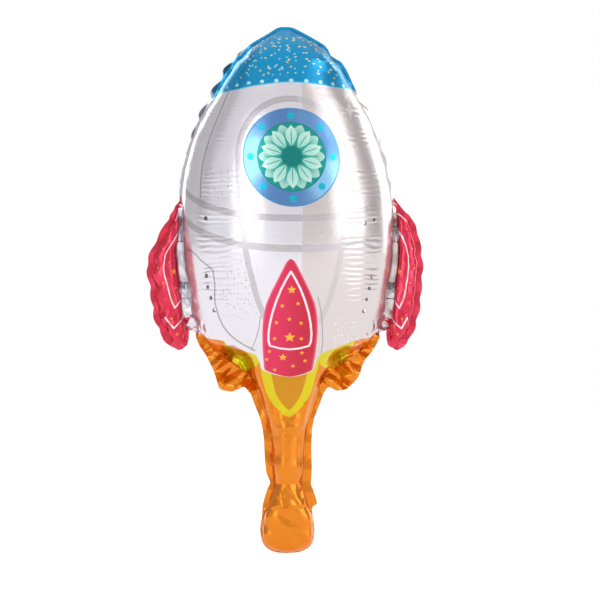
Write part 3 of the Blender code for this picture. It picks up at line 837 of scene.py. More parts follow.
def part(name):
    """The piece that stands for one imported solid."""
    chosen = fine_zone == NODE_NAMES.index(name)
    faces, corner_uv = fine_faces[chosen], fine_uv[chosen]
    used, index = np.unique(faces, return_inverse=True)
    mesh = bpy.data.meshes.new(name + "_foil")
    mesh.from_pydata(fine_co[used].tolist(), [], index.reshape(-1, 4).tolist())
    mesh.uv_layers.new(name="print").data.foreach_set("uv", corner_uv.ravel())
    mesh.shade_smooth()
    piece = bpy.data.objects.new(name + "_foil", mesh)
    bpy.context.scene.collection.objects.link(piece)
    wall = piece.modifiers.new("wall", "SOLIDIFY")
    fused = "seal" in name or "weld" in name or "flame" in name
    wall.thickness, wall.offset = (FUSED_WALL * MM, 0) if fused else (FILM_WALL * MM, -1)
    solid = bpy.data.meshes.new_from_object(piece.evaluated_get(bpy.context.evaluated_depsgraph_get()))
    piece.modifiers.clear()
    piece.data = solid
    solid.set_sharp_from_angle(angle=math.radians(60))
    return piece


pieces = {}
for name in NODE_NAMES:
    piece = pieces[name] = part(name)
    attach(piece, "root")
    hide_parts(name)
print("faces in the biggest piece:", max(len(p.data.polygons) for p in pieces.values()))

# %% [markdown]
# ## Ink on the film
#
# A foil balloon is printed while its film is still flat, so the whole picture is drawn here in flat millimetres:
# u runs across from the middle line and v runs up from the grip, both read from the "print" UV map.
# Every line, disc and star is a few maths nodes. The common ones are node groups, which are built once
# and then placed as often as the print needs them, each time with its own values.

# %% A sheet to draw on
class Sheet:
    """Adds nodes to one tree. Each call gives back the socket with the result."""

    def __init__(self, tree):
        self.tree = tree

    def node(self, kind, **settings):
        made = self.tree.nodes.new(kind)
        for name, value in settings.items():
            setattr(made, name, value)
        return made

    def feed(self, socket, value):
        if isinstance(value, bpy.types.NodeSocket):
            self.tree.links.new(value, socket)
        else:
            socket.default_value = value

    def math(self, kind, a, b=0.0, c=0.0, clamp=False):
        made = self.node("ShaderNodeMath", operation=kind, use_clamp=clamp)
        for socket, value in zip(made.inputs, (a, b, c)):
            self.feed(socket, value)
        return made.outputs[0]

    def vector(self, kind, a, b=(0, 0, 0), c=(0, 0, 0)):
        made = self.node("ShaderNodeVectorMath", operation=kind)
        for socket, value in zip(made.inputs, (a, b, c)):
            self.feed(socket, value)
        return made.outputs["Value" if kind in ("DISTANCE", "LENGTH", "DOT_PRODUCT") else "Vector"]

    def mix(self, mask, below, above):
        """Ink over what is there already: the colour above shows where the mask is 1."""
        made = self.node("ShaderNodeMix", data_type="RGBA")
        for index, value in ((0, mask), (6, below), (7, above)):
            self.feed(made.inputs[index], value)
        return made.outputs[2]

    def curve(self, value, rows):
        """A number read off a smooth curve through these rows."""
        x, y = np.array(rows, float).T
        at = self.math("MULTIPLY_ADD", value, 1 / np.ptp(x), -x[0] / np.ptp(x), clamp=True)
        made = self.node("ShaderNodeFloatCurve")
        made.mapping.extend = "HORIZONTAL"
        line = made.mapping.curves[0]
        spots = list(zip((x - x[0]) / np.ptp(x), (y - y.min()) / np.ptp(y)))
        line.points[0].location, line.points[1].location = spots[0], spots[-1]
        for spot in spots[1:-1]:
            line.points.new(*spot)
        made.mapping.update()
        self.feed(made.inputs["Value"], at)
        return self.math("MULTIPLY_ADD", made.outputs[0], float(np.ptp(y)), float(y.min()))

    def parts(self, place):
        made = self.node("ShaderNodeSeparateXYZ")
        self.feed(made.inputs[0], place)
        return made.outputs[0], made.outputs[1]

    def length(self, x, y):
        return self.math("SQRT", self.math("MULTIPLY_ADD", x, x, self.math("MULTIPLY", y, y)))

    def use(self, group, **values):
        made = self.node("ShaderNodeGroup", node_tree=bpy.data.node_groups[group])
        for name, value in values.items():
            self.feed(made.inputs[name], value)
        return made.outputs[0]


def new_group(name, inputs, output, kind="NodeSocketFloat"):
    """An empty node group with named sockets, and the sheet to draw it on."""
    tree = bpy.data.node_groups.new(name, "ShaderNodeTree")
    for socket, value in inputs.items():
        size = np.size(value)
        socket_type = {1: "NodeSocketFloat", 3: "NodeSocketVector", 4: "NodeSocketColor"}[size]
        tree.interface.new_socket(socket, in_out="INPUT", socket_type=socket_type).default_value = value
    tree.interface.new_socket(output, in_out="OUTPUT", socket_type=kind)
    sheet = Sheet(tree)
    given = sheet.node("NodeGroupInput").outputs
    return sheet, given, sheet.node("NodeGroupOutput").inputs[0]


def ink(red, green, blue):
    """A printed colour: from a colour picker's 0 to 255 to the linear light that a shader wants."""
    return tuple(((c / 255 + 0.055) / 1.055) ** 2.4 if c > 10 else c / 3295 for c in (red, green, blue)) + (1.0,)


# %% Groups: place, disc, line and star
HERE = (0.0, 0.0, 0.0)
EDGE = 2.2   # how crisp ink is: a mask goes from 0 to 1 in 1 / EDGE mm

sheet, given, out = new_group("film_place", {}, "Place", "NodeSocketVector")
uv = sheet.node("ShaderNodeUVMap", uv_map="print").outputs[0]
sheet.feed(out, sheet.vector("MULTIPLY_ADD", uv, (UV_SPAN, UV_SPAN, 0), (-UV_SPAN / 2, -UV_SPAN / 2, 0)))

sheet, given, out = new_group("disc", {"Place": HERE, "Centre": HERE, "Radius": 2.0}, "Mask")
apart = sheet.vector("DISTANCE", given["Place"], given["Centre"])
sheet.feed(out, sheet.math("MULTIPLY_ADD", sheet.math("SUBTRACT", given["Radius"], apart), EDGE, 0.5, clamp=True))

sheet, given, out = new_group("segment", {"Place": HERE, "Start": HERE, "End": HERE, "Near": 999.0}, "Near")
along = sheet.vector("SUBTRACT", given["End"], given["Start"])
length = sheet.vector("DOT_PRODUCT", along, along)
reach = sheet.vector("DOT_PRODUCT", sheet.vector("SUBTRACT", given["Place"], given["Start"]), along)
share = sheet.math("DIVIDE", reach, length, clamp=True)
foot = sheet.vector("MULTIPLY_ADD", along, share, given["Start"])
sheet.feed(out, sheet.math("MINIMUM", given["Near"], sheet.vector("DISTANCE", given["Place"], foot)))

sheet, given, out = new_group("star", {"Place": HERE, "Centre": HERE, "Size": 3.0}, "Mask")
x, y = sheet.parts(sheet.vector("SUBTRACT", given["Place"], given["Centre"]))
turn = sheet.math("PINGPONG", sheet.math("ADD", sheet.math("ARCTAN2", x, y), math.tau), math.pi / 5)
away = sheet.vector("DISTANCE", given["Place"], given["Centre"])
tip = sheet.math("SUBTRACT", sheet.math("MULTIPLY", away, sheet.math("COSINE", turn)), given["Size"])
side = sheet.math("MULTIPLY", away, sheet.math("SINE", turn))
beyond = sheet.math("MULTIPLY_ADD", tip, 0.384, sheet.math("MULTIPLY", side, 0.923))
sheet.feed(out, sheet.math("MULTIPLY_ADD", beyond, -EDGE, 0.5, clamp=True))
print("small groups:", len(bpy.data.node_groups))


# %% Lines through several points
def over(sheet, value, crisp=EDGE):
    """A mask that is 1 where the value is above 0."""
    return sheet.math("MULTIPLY_ADD", value, crisp, 0.5, clamp=True)


def stroke(sheet, place, points, width):
    near = 999.0
    for start, end in zip(points, points[1:]):
        near = sheet.use("segment", Place=place, Start=(*start, 0), End=(*end, 0), Near=near)
    return over(sheet, sheet.math("SUBTRACT", width / 2, near))


def both(sheet, a, b):
    return sheet.math("MULTIPLY", a, b)


def between(sheet, value, low, high, soft=4.0):
    """A soft mask that is 1 between two numbers."""
    middle, half = (low + high) / 2, (high - low) / 2
    apart = sheet.math("ABSOLUTE", sheet.math("SUBTRACT", value, middle))
    return over(sheet, sheet.math("SUBTRACT", half, apart), 1 / soft)


def mirror(sheet, place):
    """The same place folded over to the right half."""
    u, v = sheet.parts(place)
    made = sheet.node("ShaderNodeCombineXYZ")
    sheet.feed(made.inputs[0], sheet.math("ABSOLUTE", u))
    sheet.feed(made.inputs[1], v)
    return made.outputs[0]


# %% [markdown]
# ### Colour zones
#
# Three zones cover the body: the blue nose, the silver hull and the orange handle. Their borders cross the pieces'
# own borders a little, as on a real balloon, where the print never lies exactly on a seam.
# All body pieces place this group, so the borders run on from one piece to the next.

# %% Zones
BLUE, PALE_BLUE = ink(0, 140, 192), ink(120, 200, 228)
HULL_LEFT, HULL_RIGHT, BAND = ink(212, 208, 215), ink(200, 191, 191), ink(182, 177, 182)
RED, PAINTED_SHEEN_PINK, ROSE_WHITE = ink(196, 34, 62), ink(226, 96, 130), ink(246, 214, 222)
ORANGE, YELLOW, AMBER = ink(212, 120, 2), ink(200, 184, 4), ink(190, 128, 4)
NOSE_ROWS = [(-92, 333.5), (-80, 336.2), (-60, 338.4), (-41, 341), (-19, 344.1), (3, 345.9), (23, 344.6),
             (42, 342.6), (60, 341.8), (78, 341.2), (92, 340.5)]
FOOT_ROWS = [(-98, 124), (-77, 119.5), (-61, 117), (-54, 111), (-43, 107.3), (-31, 104), (-26, 95), (-23, 87),
             (0, 83), (20, 87), (22, 95), (26, 104.5), (33, 108), (45, 112.6), (63, 118), (79, 120.5), (98, 124)]

sheet, given, out = new_group("zones", {"Place": HERE}, "Colour", "NodeSocketColor")
u, v = sheet.parts(given["Place"])
colour = sheet.mix(over(sheet, sheet.math("MULTIPLY_ADD", v, -0.025, sheet.math("SUBTRACT", u, 3.2))), HULL_LEFT, HULL_RIGHT)
colour = sheet.mix(over(sheet, sheet.math("SUBTRACT", sheet.curve(u, FOOT_ROWS), v)), colour, ORANGE)
line = sheet.math("SUBTRACT", v, sheet.curve(u, NOSE_ROWS))
colour = sheet.mix(over(sheet, line), colour, PALE_BLUE)
colour = sheet.mix(over(sheet, sheet.math("SUBTRACT", line, 1.0)), colour, BLUE)
sheet.feed(out, colour)

# %% [markdown]
# ### Print on the nose
#
# A row of pale dots runs over the edge of the blue, and confetti is scattered above it.
# The row is one dot that repeats in a modulo. The confetti comes from a Voronoi texture:
# each cell has one point, and only some of the cells are given a dot.

# %% Dots and confetti
sheet, given, out = new_group("nose_print", {"Place": HERE, "Colour": BLUE}, "Colour", "NodeSocketColor")
u, v = sheet.parts(given["Place"])
off = sheet.math("SUBTRACT", u, 3.0)
row = sheet.math("MULTIPLY_ADD", sheet.math("MULTIPLY", off, off), 0.0013, sheet.math("SUBTRACT", v, 348.0))
step = sheet.math("SUBTRACT", sheet.math("WRAP", off, 0.5 * 12.2, -0.5 * 12.2), 0.1)
dot = sheet.length(step, row)
dot = both(sheet, over(sheet, sheet.math("SUBTRACT", 1.8, dot)), between(sheet, off, -61, 61, 0.5))
colour = sheet.mix(dot, given["Colour"], ink(176, 226, 240))
above = sheet.math("SUBTRACT", v, sheet.curve(u, NOSE_ROWS))
field = both(sheet, between(sheet, above, 8, 52, 3), between(sheet, sheet.math("ABSOLUTE", u), -99, 46, 6))
CONFETTI = [((0.17, 0.17, 1), 0.0, 0.13, 0.45, ink(150, 214, 236)), ((0.12, 0.22, 1), 0.6, 0.15, 0.42, ink(214, 196, 120)),
            ((0.12, 0.22, 1), -0.5, 0.13, 0.4, ink(232, 214, 160))]
for scale, angle, size, share, tint in CONFETTI:
    cells = sheet.node("ShaderNodeVectorRotate", rotation_type="Z_AXIS")
    sheet.feed(cells.inputs["Vector"], given["Place"])
    sheet.feed(cells.inputs["Angle"], angle)
    bits = sheet.node("ShaderNodeTexVoronoi", voronoi_dimensions="2D")
    sheet.feed(bits.inputs["Vector"], sheet.vector("MULTIPLY", cells.outputs[0], scale))
    sheet.feed(bits.inputs["Scale"], 1.0)
    lucky = sheet.math("LESS_THAN", sheet.parts(bits.outputs["Color"])[0], share)
    bit = over(sheet, sheet.math("SUBTRACT", size, bits.outputs["Distance"]), 25)
    colour = sheet.mix(both(sheet, both(sheet, bit, lucky), field), colour, tint)
sheet.feed(out, colour)

# %% [markdown]
# ### Lines, bands and rivets on the hull
#
# Pale grey bands cross the hull like hoops and stays, and thin lines stand for panel joints.
# Dark dots stand for rivets and short white dashes for a row of stitches of light.
# The bands follow curves, so their masks compare a place with a curve's height there.

# %% The hull's print
sheet, given, out = new_group("hull_print", {"Place": HERE, "Colour": HULL_LEFT}, "Colour", "NodeSocketColor")
place = given["Place"]
u, v = sheet.parts(place)
down = sheet.math("POWER", sheet.math("MULTIPLY", sheet.math("MAXIMUM", sheet.math("SUBTRACT", 279, v), 0), 1 / 133.4), 2.8)
wide = sheet.math("MULTIPLY_ADD", down, 18.8, sheet.math("ABSOLUTE", sheet.math("SUBTRACT", u, 1.5)))
up = sheet.math("MAXIMUM", sheet.math("SUBTRACT", v, 279), 0)
ring = sheet.length(sheet.math("MULTIPLY", wide, 1 / 45), sheet.math("MULTIPLY", up, 1 / 52))
ring = sheet.math("MULTIPLY", sheet.math("ABSOLUTE", sheet.math("SUBTRACT", ring, 1)), 48)
band = both(sheet, over(sheet, sheet.math("SUBTRACT", 2.7, ring)), between(sheet, v, 135, 400))
for height, centre, thick in ((226.0, 2.0, 2.9), (200.0, 5.0, 3.1)):
    lift = sheet.math("POWER", sheet.math("ABSOLUTE", sheet.math("SUBTRACT", u, centre)), 2.3)
    level = sheet.math("MULTIPLY_ADD", lift, 0.0005, height)
    hoop = over(sheet, sheet.math("SUBTRACT", thick, sheet.math("ABSOLUTE", sheet.math("SUBTRACT", v, level))))
    band = sheet.math("MAXIMUM", band, both(sheet, hoop, between(sheet, u, -130, 74, 12)))
fade = sheet.math("MULTIPLY_ADD", between(sheet, u, -140, 8, 1), 0.3, 0.7)
colour = sheet.mix(both(sheet, band, fade), given["Colour"], BAND)

PANEL_LINES = [
    ([(-54, 341), (-60, 327), (-66, 313), (-72, 299), (-76, 286), (-80, 272), (-81.6, 259), (-82.4, 244)], 1.3),
    ([(-104, 199), (-97, 198), (-90, 194.5), (-83, 189.5), (-76, 185.5), (-70, 181), (-68.4, 168), (-67.8, 152)], 1.6),
    ([(-67.8, 152), (-64.5, 140), (-60, 131), (-54, 124), (-46, 117.4), (-39, 112.9), (-30, 108)], 1.6),
    ([(-33, 108), (-29.5, 119), (-27, 131), (-26, 141)], 0.9), ([(21.5, 158), (24.6, 145), (26, 130), (26.4, 116), (25.6, 105)], 1.0),
]
for points, width in PANEL_LINES:
    colour = sheet.mix(stroke(sheet, place, points, width), colour, ink(158, 154, 160))
RIVETS = [(-76, 226, 2.0), (-77.6, 176.3, 2.0), (-76.2, 166.6, 1.8), (-72.3, 157, 1.8), (-69.2, 145.8, 1.9),
          (76.1, 224.8, 1.5), (65.3, 222.1, 1.9), (74.5, 175.7, 1.9), (71.5, 165.5, 1.7), (68.5, 155.7, 1.6), (66, 145, 1.7)]
for x, y, size in RIVETS:
    colour = sheet.mix(sheet.use("disc", Place=place, Centre=(x, y, 0), Radius=size), colour, ink(92, 92, 98))
for x, y, size in ((64.4, 222.4, 1.2), (75.2, 176.1, 0.9), (67.2, 145.6, 0.9), (-68.3, 146.4, 0.8)):
    colour = sheet.mix(sheet.use("disc", Place=place, Centre=(x, y, 0), Radius=size), colour, ink(250, 250, 252))
print("hull lines:", len(PANEL_LINES), "rivets:", len(RIVETS))

# %% Dashes, a sparkle and fine specks
beside = sheet.math("SUBTRACT", v, 250)
beside = sheet.math("MULTIPLY_ADD", sheet.math("MULTIPLY", beside, beside), 0.0027, sheet.math("SUBTRACT", u, 90))
dash = both(sheet, over(sheet, sheet.math("SUBTRACT", 0.8, sheet.math("ABSOLUTE", beside))),
            over(sheet, sheet.math("SUBTRACT", 1.7, sheet.math("PINGPONG", v, 4.8))))
colour = sheet.mix(both(sheet, dash, between(sheet, v, 246, 330, 2)), colour, ink(250, 250, 252))
x, y = (sheet.math("SQRT", sheet.math("ABSOLUTE", a)) for a in sheet.parts(
    sheet.vector("MULTIPLY_ADD", place, (1 / 8.5, 1 / 11.5, 0), (-55.4 / 8.5, -322.2 / 11.5, 0))))
gleam = over(sheet, sheet.math("SUBTRACT", 1, sheet.math("ADD", x, y)), 5)
colour = sheet.mix(sheet.math("MULTIPLY", gleam, 0.75), colour, ink(238, 234, 236))
SPECKS = [(-78, -50, 240, 272), (-62, -30, 140, 190)]
bits = sheet.node("ShaderNodeTexVoronoi", voronoi_dimensions="2D")
sheet.feed(bits.inputs["Vector"], sheet.vector("MULTIPLY", place, (0.3, 0.3, 0)))
sheet.feed(bits.inputs["Scale"], 1.0)
bit = over(sheet, sheet.math("SUBTRACT", 0.15, bits.outputs["Distance"]), 18)
bit = both(sheet, bit, sheet.math("LESS_THAN", sheet.parts(bits.outputs["Color"])[0], 0.42))
for left_edge, right_edge, low_edge, high_edge in SPECKS:
    field = both(sheet, between(sheet, u, left_edge, right_edge, 5), between(sheet, v, low_edge, high_edge, 8))
    colour = sheet.mix(both(sheet, bit, field), colour, ink(140, 136, 142))
field = both(sheet, between(sheet, u, 34, 66, 5), between(sheet, v, 108, 140, 8))
colour = sheet.mix(sheet.math("MULTIPLY", both(sheet, bit, field), 0.6), colour, ink(250, 250, 252))
sheet.feed(out, colour)

# %% [markdown]
# ### The porthole
#
# A blue ring with eight soft lights lies round a glass. The glass shows a rosette of pointed petals in two tiers,
# drawn for this balloon. Angles are folded with a ping-pong, so one petal and one light stand for all of them.

# %% Ring, lights and rosette
RING_BLUE, CYAN, TEAL, MINT = ink(70, 112, 172), ink(0, 176, 200), ink(4, 146, 138), ink(168, 222, 208)
PORTHOLE = (1.4, 279.0, 0.0)
sheet, given, out = new_group("porthole", {"Place": HERE, "Colour": HULL_LEFT, "Centre": PORTHOLE}, "Colour", "NodeSocketColor")
place = sheet.vector("MULTIPLY", sheet.vector("SUBTRACT", given["Place"], given["Centre"]), (1.06, 1, 1))
u, v = sheet.parts(place)
away = sheet.vector("LENGTH", place)
angle = sheet.math("ADD", sheet.math("ARCTAN2", u, v), math.tau)
colour = sheet.mix(over(sheet, sheet.math("SUBTRACT", 43.4, away)), given["Colour"], ink(60, 140, 190))
colour = sheet.mix(over(sheet, sheet.math("SUBTRACT", 42.4, away)), colour, RING_BLUE)
for turned, spread, share in ((4.75, 0.5, 0.75), (2.15, 0.42, 0.9), (0.6, 0.4, 0.25)):
    sheen = sheet.math("PINGPONG", sheet.math("SUBTRACT", angle, turned - math.tau), math.pi)
    sheen = sheet.math("SMOOTH_MIN", sheet.math("DIVIDE", spread, sheet.math("MAXIMUM", sheen, 0.05)), 1.0, 0.3)
    sheen = sheet.math("MULTIPLY", both(sheet, sheet.math("POWER", sheen, 2.5), over(sheet, sheet.math("SUBTRACT", 42.4, away))), share)
    colour = sheet.mix(sheen, colour, ink(140, 196, 236))
fold = sheet.math("PINGPONG", angle, math.pi / 8)
x = sheet.math("MULTIPLY_ADD", away, sheet.math("COSINE", fold), -36.4)
lamp = sheet.length(x, sheet.math("MULTIPLY", away, sheet.math("SINE", fold)))
lamp = over(sheet, sheet.math("SUBTRACT", 3.1, lamp), 0.9)
colour = sheet.mix(both(sheet, lamp, over(sheet, sheet.math("SUBTRACT", 41, away))), colour, CYAN)
glass = over(sheet, sheet.math("SUBTRACT", 30.4, away))
colour = sheet.mix(glass, colour, ink(2, 128, 122))
colour = sheet.mix(over(sheet, sheet.math("SUBTRACT", 29.6, away)), colour, TEAL)
TIERS = [   # first angle, petal's half angle at each distance from the middle, ink
    (math.pi / 10, [(8, 0.02), (14, 0.14), (19, 0.24), (23, 0.23), (26, 0.15), (29.4, 0.0)], ink(62, 178, 164)),
    (0.0, [(6, 0.02), (12, 0.17), (17, 0.27), (21, 0.22), (25, 0.1), (27.6, 0.0)], MINT),
]
for first, widths, tint in TIERS:
    fold = sheet.math("PINGPONG", sheet.math("ADD", angle, first), math.pi / 10)
    edge = both(sheet, sheet.math("SUBTRACT", sheet.curve(away, widths), fold), away)
    petal = both(sheet, over(sheet, edge), between(sheet, away, 7, 29, 1))
    colour = sheet.mix(petal, colour, tint)
    light = both(sheet, petal, sheet.math("MULTIPLY_ADD", away, 0.07, -1.1, clamp=True))
    colour = sheet.mix(sheet.math("MULTIPLY", light, 0.6), colour, ink(226, 244, 236))
    rib = over(sheet, sheet.math("SUBTRACT", 0.35, both(sheet, fold, away)))
    colour = sheet.mix(both(sheet, both(sheet, rib, petal), between(sheet, away, 9, 23, 3)), colour, TEAL)
colour = sheet.mix(over(sheet, sheet.math("SUBTRACT", 9.6, away), 0.5), colour, ink(0, 124, 118))
sheet.feed(out, colour)

# %% [markdown]
# ### The middle fin
#
# A third fin is only printed. Its half width is a curve over the height, with a pale line inside it and gold stars.
# A thin pink painted sheen runs round its edge, and inside that its red is painted lighter on the left and darker on
# the right as shade.

# %% Red fin with stars
FIN_HALF = [(82, 21.0), (90, 21.1), (103, 21.6), (116, 22.4), (131, 23.0), (147, 21.4), (160, 17.2), (170, 12.8),
            (177, 9.4), (184, 6.0), (189, 3.2), (191.4, 0.0), (194, -6.0)]
FIN_LINE = [(0, 180.3), (4.2, 173), (8.2, 164.8), (12, 154.5), (15, 144.4), (17, 134), (17.8, 125.1), (17.4, 118),
            (16, 113.6), (8, 111.3), (0, 110.4)]
BIG_STARS = [(0.7, 164.6, 3.7), (-0.2, 122, 4.7), (-5.2, 102.4, 3.5)]
SMALL_STARS = [(-6.9, 150.5), (6.1, 152.6), (-1, 138.7), (-11.5, 135.6), (8.9, 135.1), (-12.5, 120.6), (9.4, 120.6),
               (-16.4, 107.8), (10.3, 106.8), (-18.6, 99.4), (13.4, 98.5), (3.6, 93.8), (-12, 89)]
sheet, given, out = new_group("middle_fin", {"Place": HERE, "Colour": HULL_LEFT}, "Colour", "NodeSocketColor")
centred = sheet.vector("ADD", given["Place"], (1.2, 0, 0))
place = mirror(sheet, centred)
u, v = sheet.parts(place)
bottom = sheet.math("MULTIPLY_ADD", sheet.math("MULTIPLY", u, u), 0.011, 83.3)
inner = sheet.math("SUBTRACT", sheet.curve(v, FIN_HALF), u)
fin = both(sheet, over(sheet, inner), over(sheet, sheet.math("SUBTRACT", v, bottom)))
# painted sheen: the fin's outer edge, about 2 mm wide, stays a lighter pink
colour = sheet.mix(fin, given["Colour"], PAINTED_SHEEN_PINK)
rim = sheet.math("MULTIPLY", sheet.math("SUBTRACT", inner, -0.4), 0.4, clamp=True)
# painted shade: inside the edge the red is pinker on the left and darker on the right, as if lit from the left
painted_shade_slant = sheet.math("MULTIPLY_ADD", sheet.parts(centred)[0], 0.045, 0.5, clamp=True)
colour = sheet.mix(both(sheet, fin, rim), colour, sheet.mix(painted_shade_slant, ink(206, 44, 84), ink(184, 34, 58)))
colour = sheet.mix(stroke(sheet, place, FIN_LINE, 1.7), colour, ROSE_WHITE)
for x, y, size in BIG_STARS + [(x, y, 1.9) for x, y in SMALL_STARS]:
    colour = sheet.mix(sheet.use("star", Place=centred, Centre=(x, y, 0), Size=size), colour, ink(240, 170, 48))
sheet.feed(out, colour)
print("stars:", len(BIG_STARS) + len(SMALL_STARS))

# %% [markdown]
# ### Flames
#
# Below the middle fin a yellow flame with an amber core runs down on to the handle.
# The two flaps beside it are yellow near the hull and turn to gold and orange further out.

# %% Flame print
CORE = [(47, -4.0), (50, 0.0), (53, 4.0), (58, 8.0), (65, 11.6), (78, 14.8), (88, 16)]
FLAME = [(41, -5.0), (43.8, 0.0), (46, 5.6), (50, 10.4), (56, 15.4), (66, 21.5), (76, 24), (90, 25.5)]
TONGUE = [(20, 102), (25, 98), (28, 92), (37, 87), (46, 82), (52, 92), (57, 106), (60, 125)]
sheet, given, out = new_group("flame_print", {"Place": HERE, "Colour": ORANGE}, "Colour", "NodeSocketColor")
place = mirror(sheet, sheet.vector("ADD", given["Place"], (0.4, 0, 0)))
u, v = sheet.parts(place)
body = sheet.math("SUBTRACT", sheet.curve(sheet.parts(given["Place"])[0], FOOT_ROWS), v)
below = over(sheet, body)
tongue = both(sheet, below, over(sheet, sheet.math("SUBTRACT", v, sheet.curve(u, TONGUE)), 0.8))
colour = sheet.mix(tongue, given["Colour"], YELLOW)
for rows, tint in ((FLAME, YELLOW), (CORE, AMBER)):
    inner = over(sheet, sheet.math("SUBTRACT", sheet.curve(v, rows), u), 1.4)
    colour = sheet.mix(both(sheet, both(sheet, inner, below), over(sheet, sheet.math("SUBTRACT", v, rows[0][0]))), colour, tint)
sheet.feed(out, colour)

# %% [markdown]
# ### The back
#
# Nothing shows what is printed on the back, so its print is only the zones and the flame. Its lobes show past the front
# film, deep blue beside the nose and grey beside the hull, because they face away from the light, so painted shade
# darkens it along its weld.

# %% Painted shade along the back film's weld
weld_v = np.linspace(V_FLAME_END + 40, FLAT_V[-1] - 3, 18)
weld_rows = [(float(a), float(b)) for a, b in zip(weld_v, print_across(half_width(weld_v), weld_v))]
sheet, given, out = new_group("back_border", {"Place": HERE, "Colour": HULL_LEFT}, "Colour", "NodeSocketColor")
u, v = sheet.parts(mirror(sheet, given["Place"]))
# painted shade: the back film turns dark towards its weld, where its lobes face away from the light
near = sheet.math("MULTIPLY_ADD", sheet.math("SUBTRACT", u, sheet.curve(v, weld_rows)), 1 / 18, 1.7, clamp=True)
near = both(sheet, near, over(sheet, sheet.math("SUBTRACT", v, weld_rows[0][0]), 0.1))
sheet.feed(out, sheet.mix(sheet.math("MULTIPLY", near, 0.68), given["Colour"], ink(10, 24, 48)))
print("weld in the print's place:", weld_rows[0], weld_rows[-1])

# %% [markdown]
# ### Print on the side fins
#
# Both side fins carry the same pale outline, two chevrons and gold stars, so the place is folded over to one side.
# The silver of the hull runs out into each fin in two points, where the gas channels are.

# %% Outline, chevrons and stars
FIN_STROKES = [[(128.5, 216), (134.5, 210), (140, 202.5), (143, 194), (144, 185), (143, 175), (140.2, 165.6), (136, 156),
                (130.8, 148), (126, 153), (119, 159)], [(112, 145), (119, 140), (128, 129.4), (138, 139)],
               [(137, 224), (133, 228), (127, 231), (124, 224), (121.5, 220)]]
FIN_STARS = [(133, 180, 2.9), (127.5, 203.5, 2.7), (131.5, 194, 1.2), (145, 170, 1.1), (131.5, 165.5, 1.2), (135, 155, 1.5),
             (131.8, 138, 1.5), (123, 124, 1.4), (150, 183, 1.1), (138, 188, 1.0), (147, 200, 1.0), (122, 132, 1.1)]
sheet, given, out = new_group("fin_print", {"Place": HERE, "Colour": RED}, "Colour", "NodeSocketColor")
place = mirror(sheet, given["Place"])
u, v = sheet.parts(place)
blotch = sheet.node("ShaderNodeTexNoise", noise_dimensions="2D")
sheet.feed(blotch.inputs["Vector"], place)
sheet.feed(blotch.inputs["Scale"], 0.06)
colour = sheet.mix(sheet.math("MULTIPLY_ADD", blotch.outputs[0], 1.6, -0.55, clamp=True), given["Colour"], ink(216, 64, 92))
for points in FIN_STROKES:
    colour = sheet.mix(stroke(sheet, place, points, 1.25), colour, ROSE_WHITE)
for x, y, size in FIN_STARS:
    colour = sheet.mix(sheet.use("star", Place=place, Centre=(x, y, 0), Size=size), colour, ink(244, 150, 40))
inner = sheet.curve(v, [(float(a), float(b)) for a, b in zip(FIN_V[1:-1:2], fin_inner(FIN_V[1:-1:2]))])
for middle in (V_LOW, V_HIGH):
    point = sheet.math("MULTIPLY_ADD", sheet.math("ABSOLUTE", sheet.math("SUBTRACT", v, middle)), -0.9, 6.5)
    point = sheet.math("SUBTRACT", point, sheet.math("SUBTRACT", u, inner))
    colour = sheet.mix(over(sheet, point), colour, HULL_LEFT)
sheet.feed(out, colour)

# %% [markdown]
# ### Foil
#
# The film is a clear plastic with a coat of metal a few atoms thick, so it reflects like a soft mirror in the ink's colour.
# Even where it is taut it isn't quite flat: there are short ripples across the sides, where the film is squeezed,
# faint broad dents and a fine crinkle from how it was folded in its packet.
# This group puts out heights in millimetres, for a Bump node.

# %% Heights of ripples, dents and crinkles
sheet, given, out = new_group("foil_relief", {"Place": HERE, "Ripple": 0.12, "Crinkle": 0.05, "Dent": 0.6}, "Height")
place = given["Place"]
u, v = sheet.parts(place)


def noise(sheet, place, scale, detail=1.0):
    made = sheet.node("ShaderNodeTexNoise", noise_dimensions="2D")
    for name, value in (("Vector", sheet.vector("MULTIPLY", place, scale)), ("Scale", 1.0), ("Detail", detail)):
        sheet.feed(made.inputs[name], value)
    return made.outputs[0]


wander = sheet.math("MULTIPLY_ADD", noise(sheet, place, (0.03, 0.07, 0)), 6.0, v)
wave = sheet.math("SINE", sheet.math("MULTIPLY", wander, math.tau / 4.6))
patch = sheet.math("MULTIPLY_ADD", noise(sheet, mirror(sheet, place), (0.012, 0.045, 0)), 7.0, -3.0, clamp=True)
across = between(sheet, sheet.math("ABSOLUTE", u), 47, 84, 12)
wave = both(sheet, both(sheet, wave, patch), both(sheet, across, between(sheet, v, 130, 322, 14)))
height = both(sheet, wave, given["Ripple"])
height = sheet.math("MULTIPLY_ADD", noise(sheet, place, (0.025, 0.035, 0), 0.0), given["Dent"], height)
folds = sheet.math("ABSOLUTE", sheet.math("SUBTRACT", noise(sheet, place, (0.11, 0.14, 0), 2.0), 0.5))
height = sheet.math("MULTIPLY_ADD", sheet.math("POWER", folds, 0.7), given["Crinkle"], height)
sheet.feed(out, height)

sheet, given, out = new_group("foil_haze", {"Place": HERE, "Least": 0.17, "Most": 0.27}, "Roughness")
cloud = noise(sheet, given["Place"], (0.02, 0.02, 0), 3.0)
span = sheet.math("SUBTRACT", given["Most"], given["Least"])
sheet.feed(out, sheet.math("MULTIPLY_ADD", cloud, span, given["Least"]))


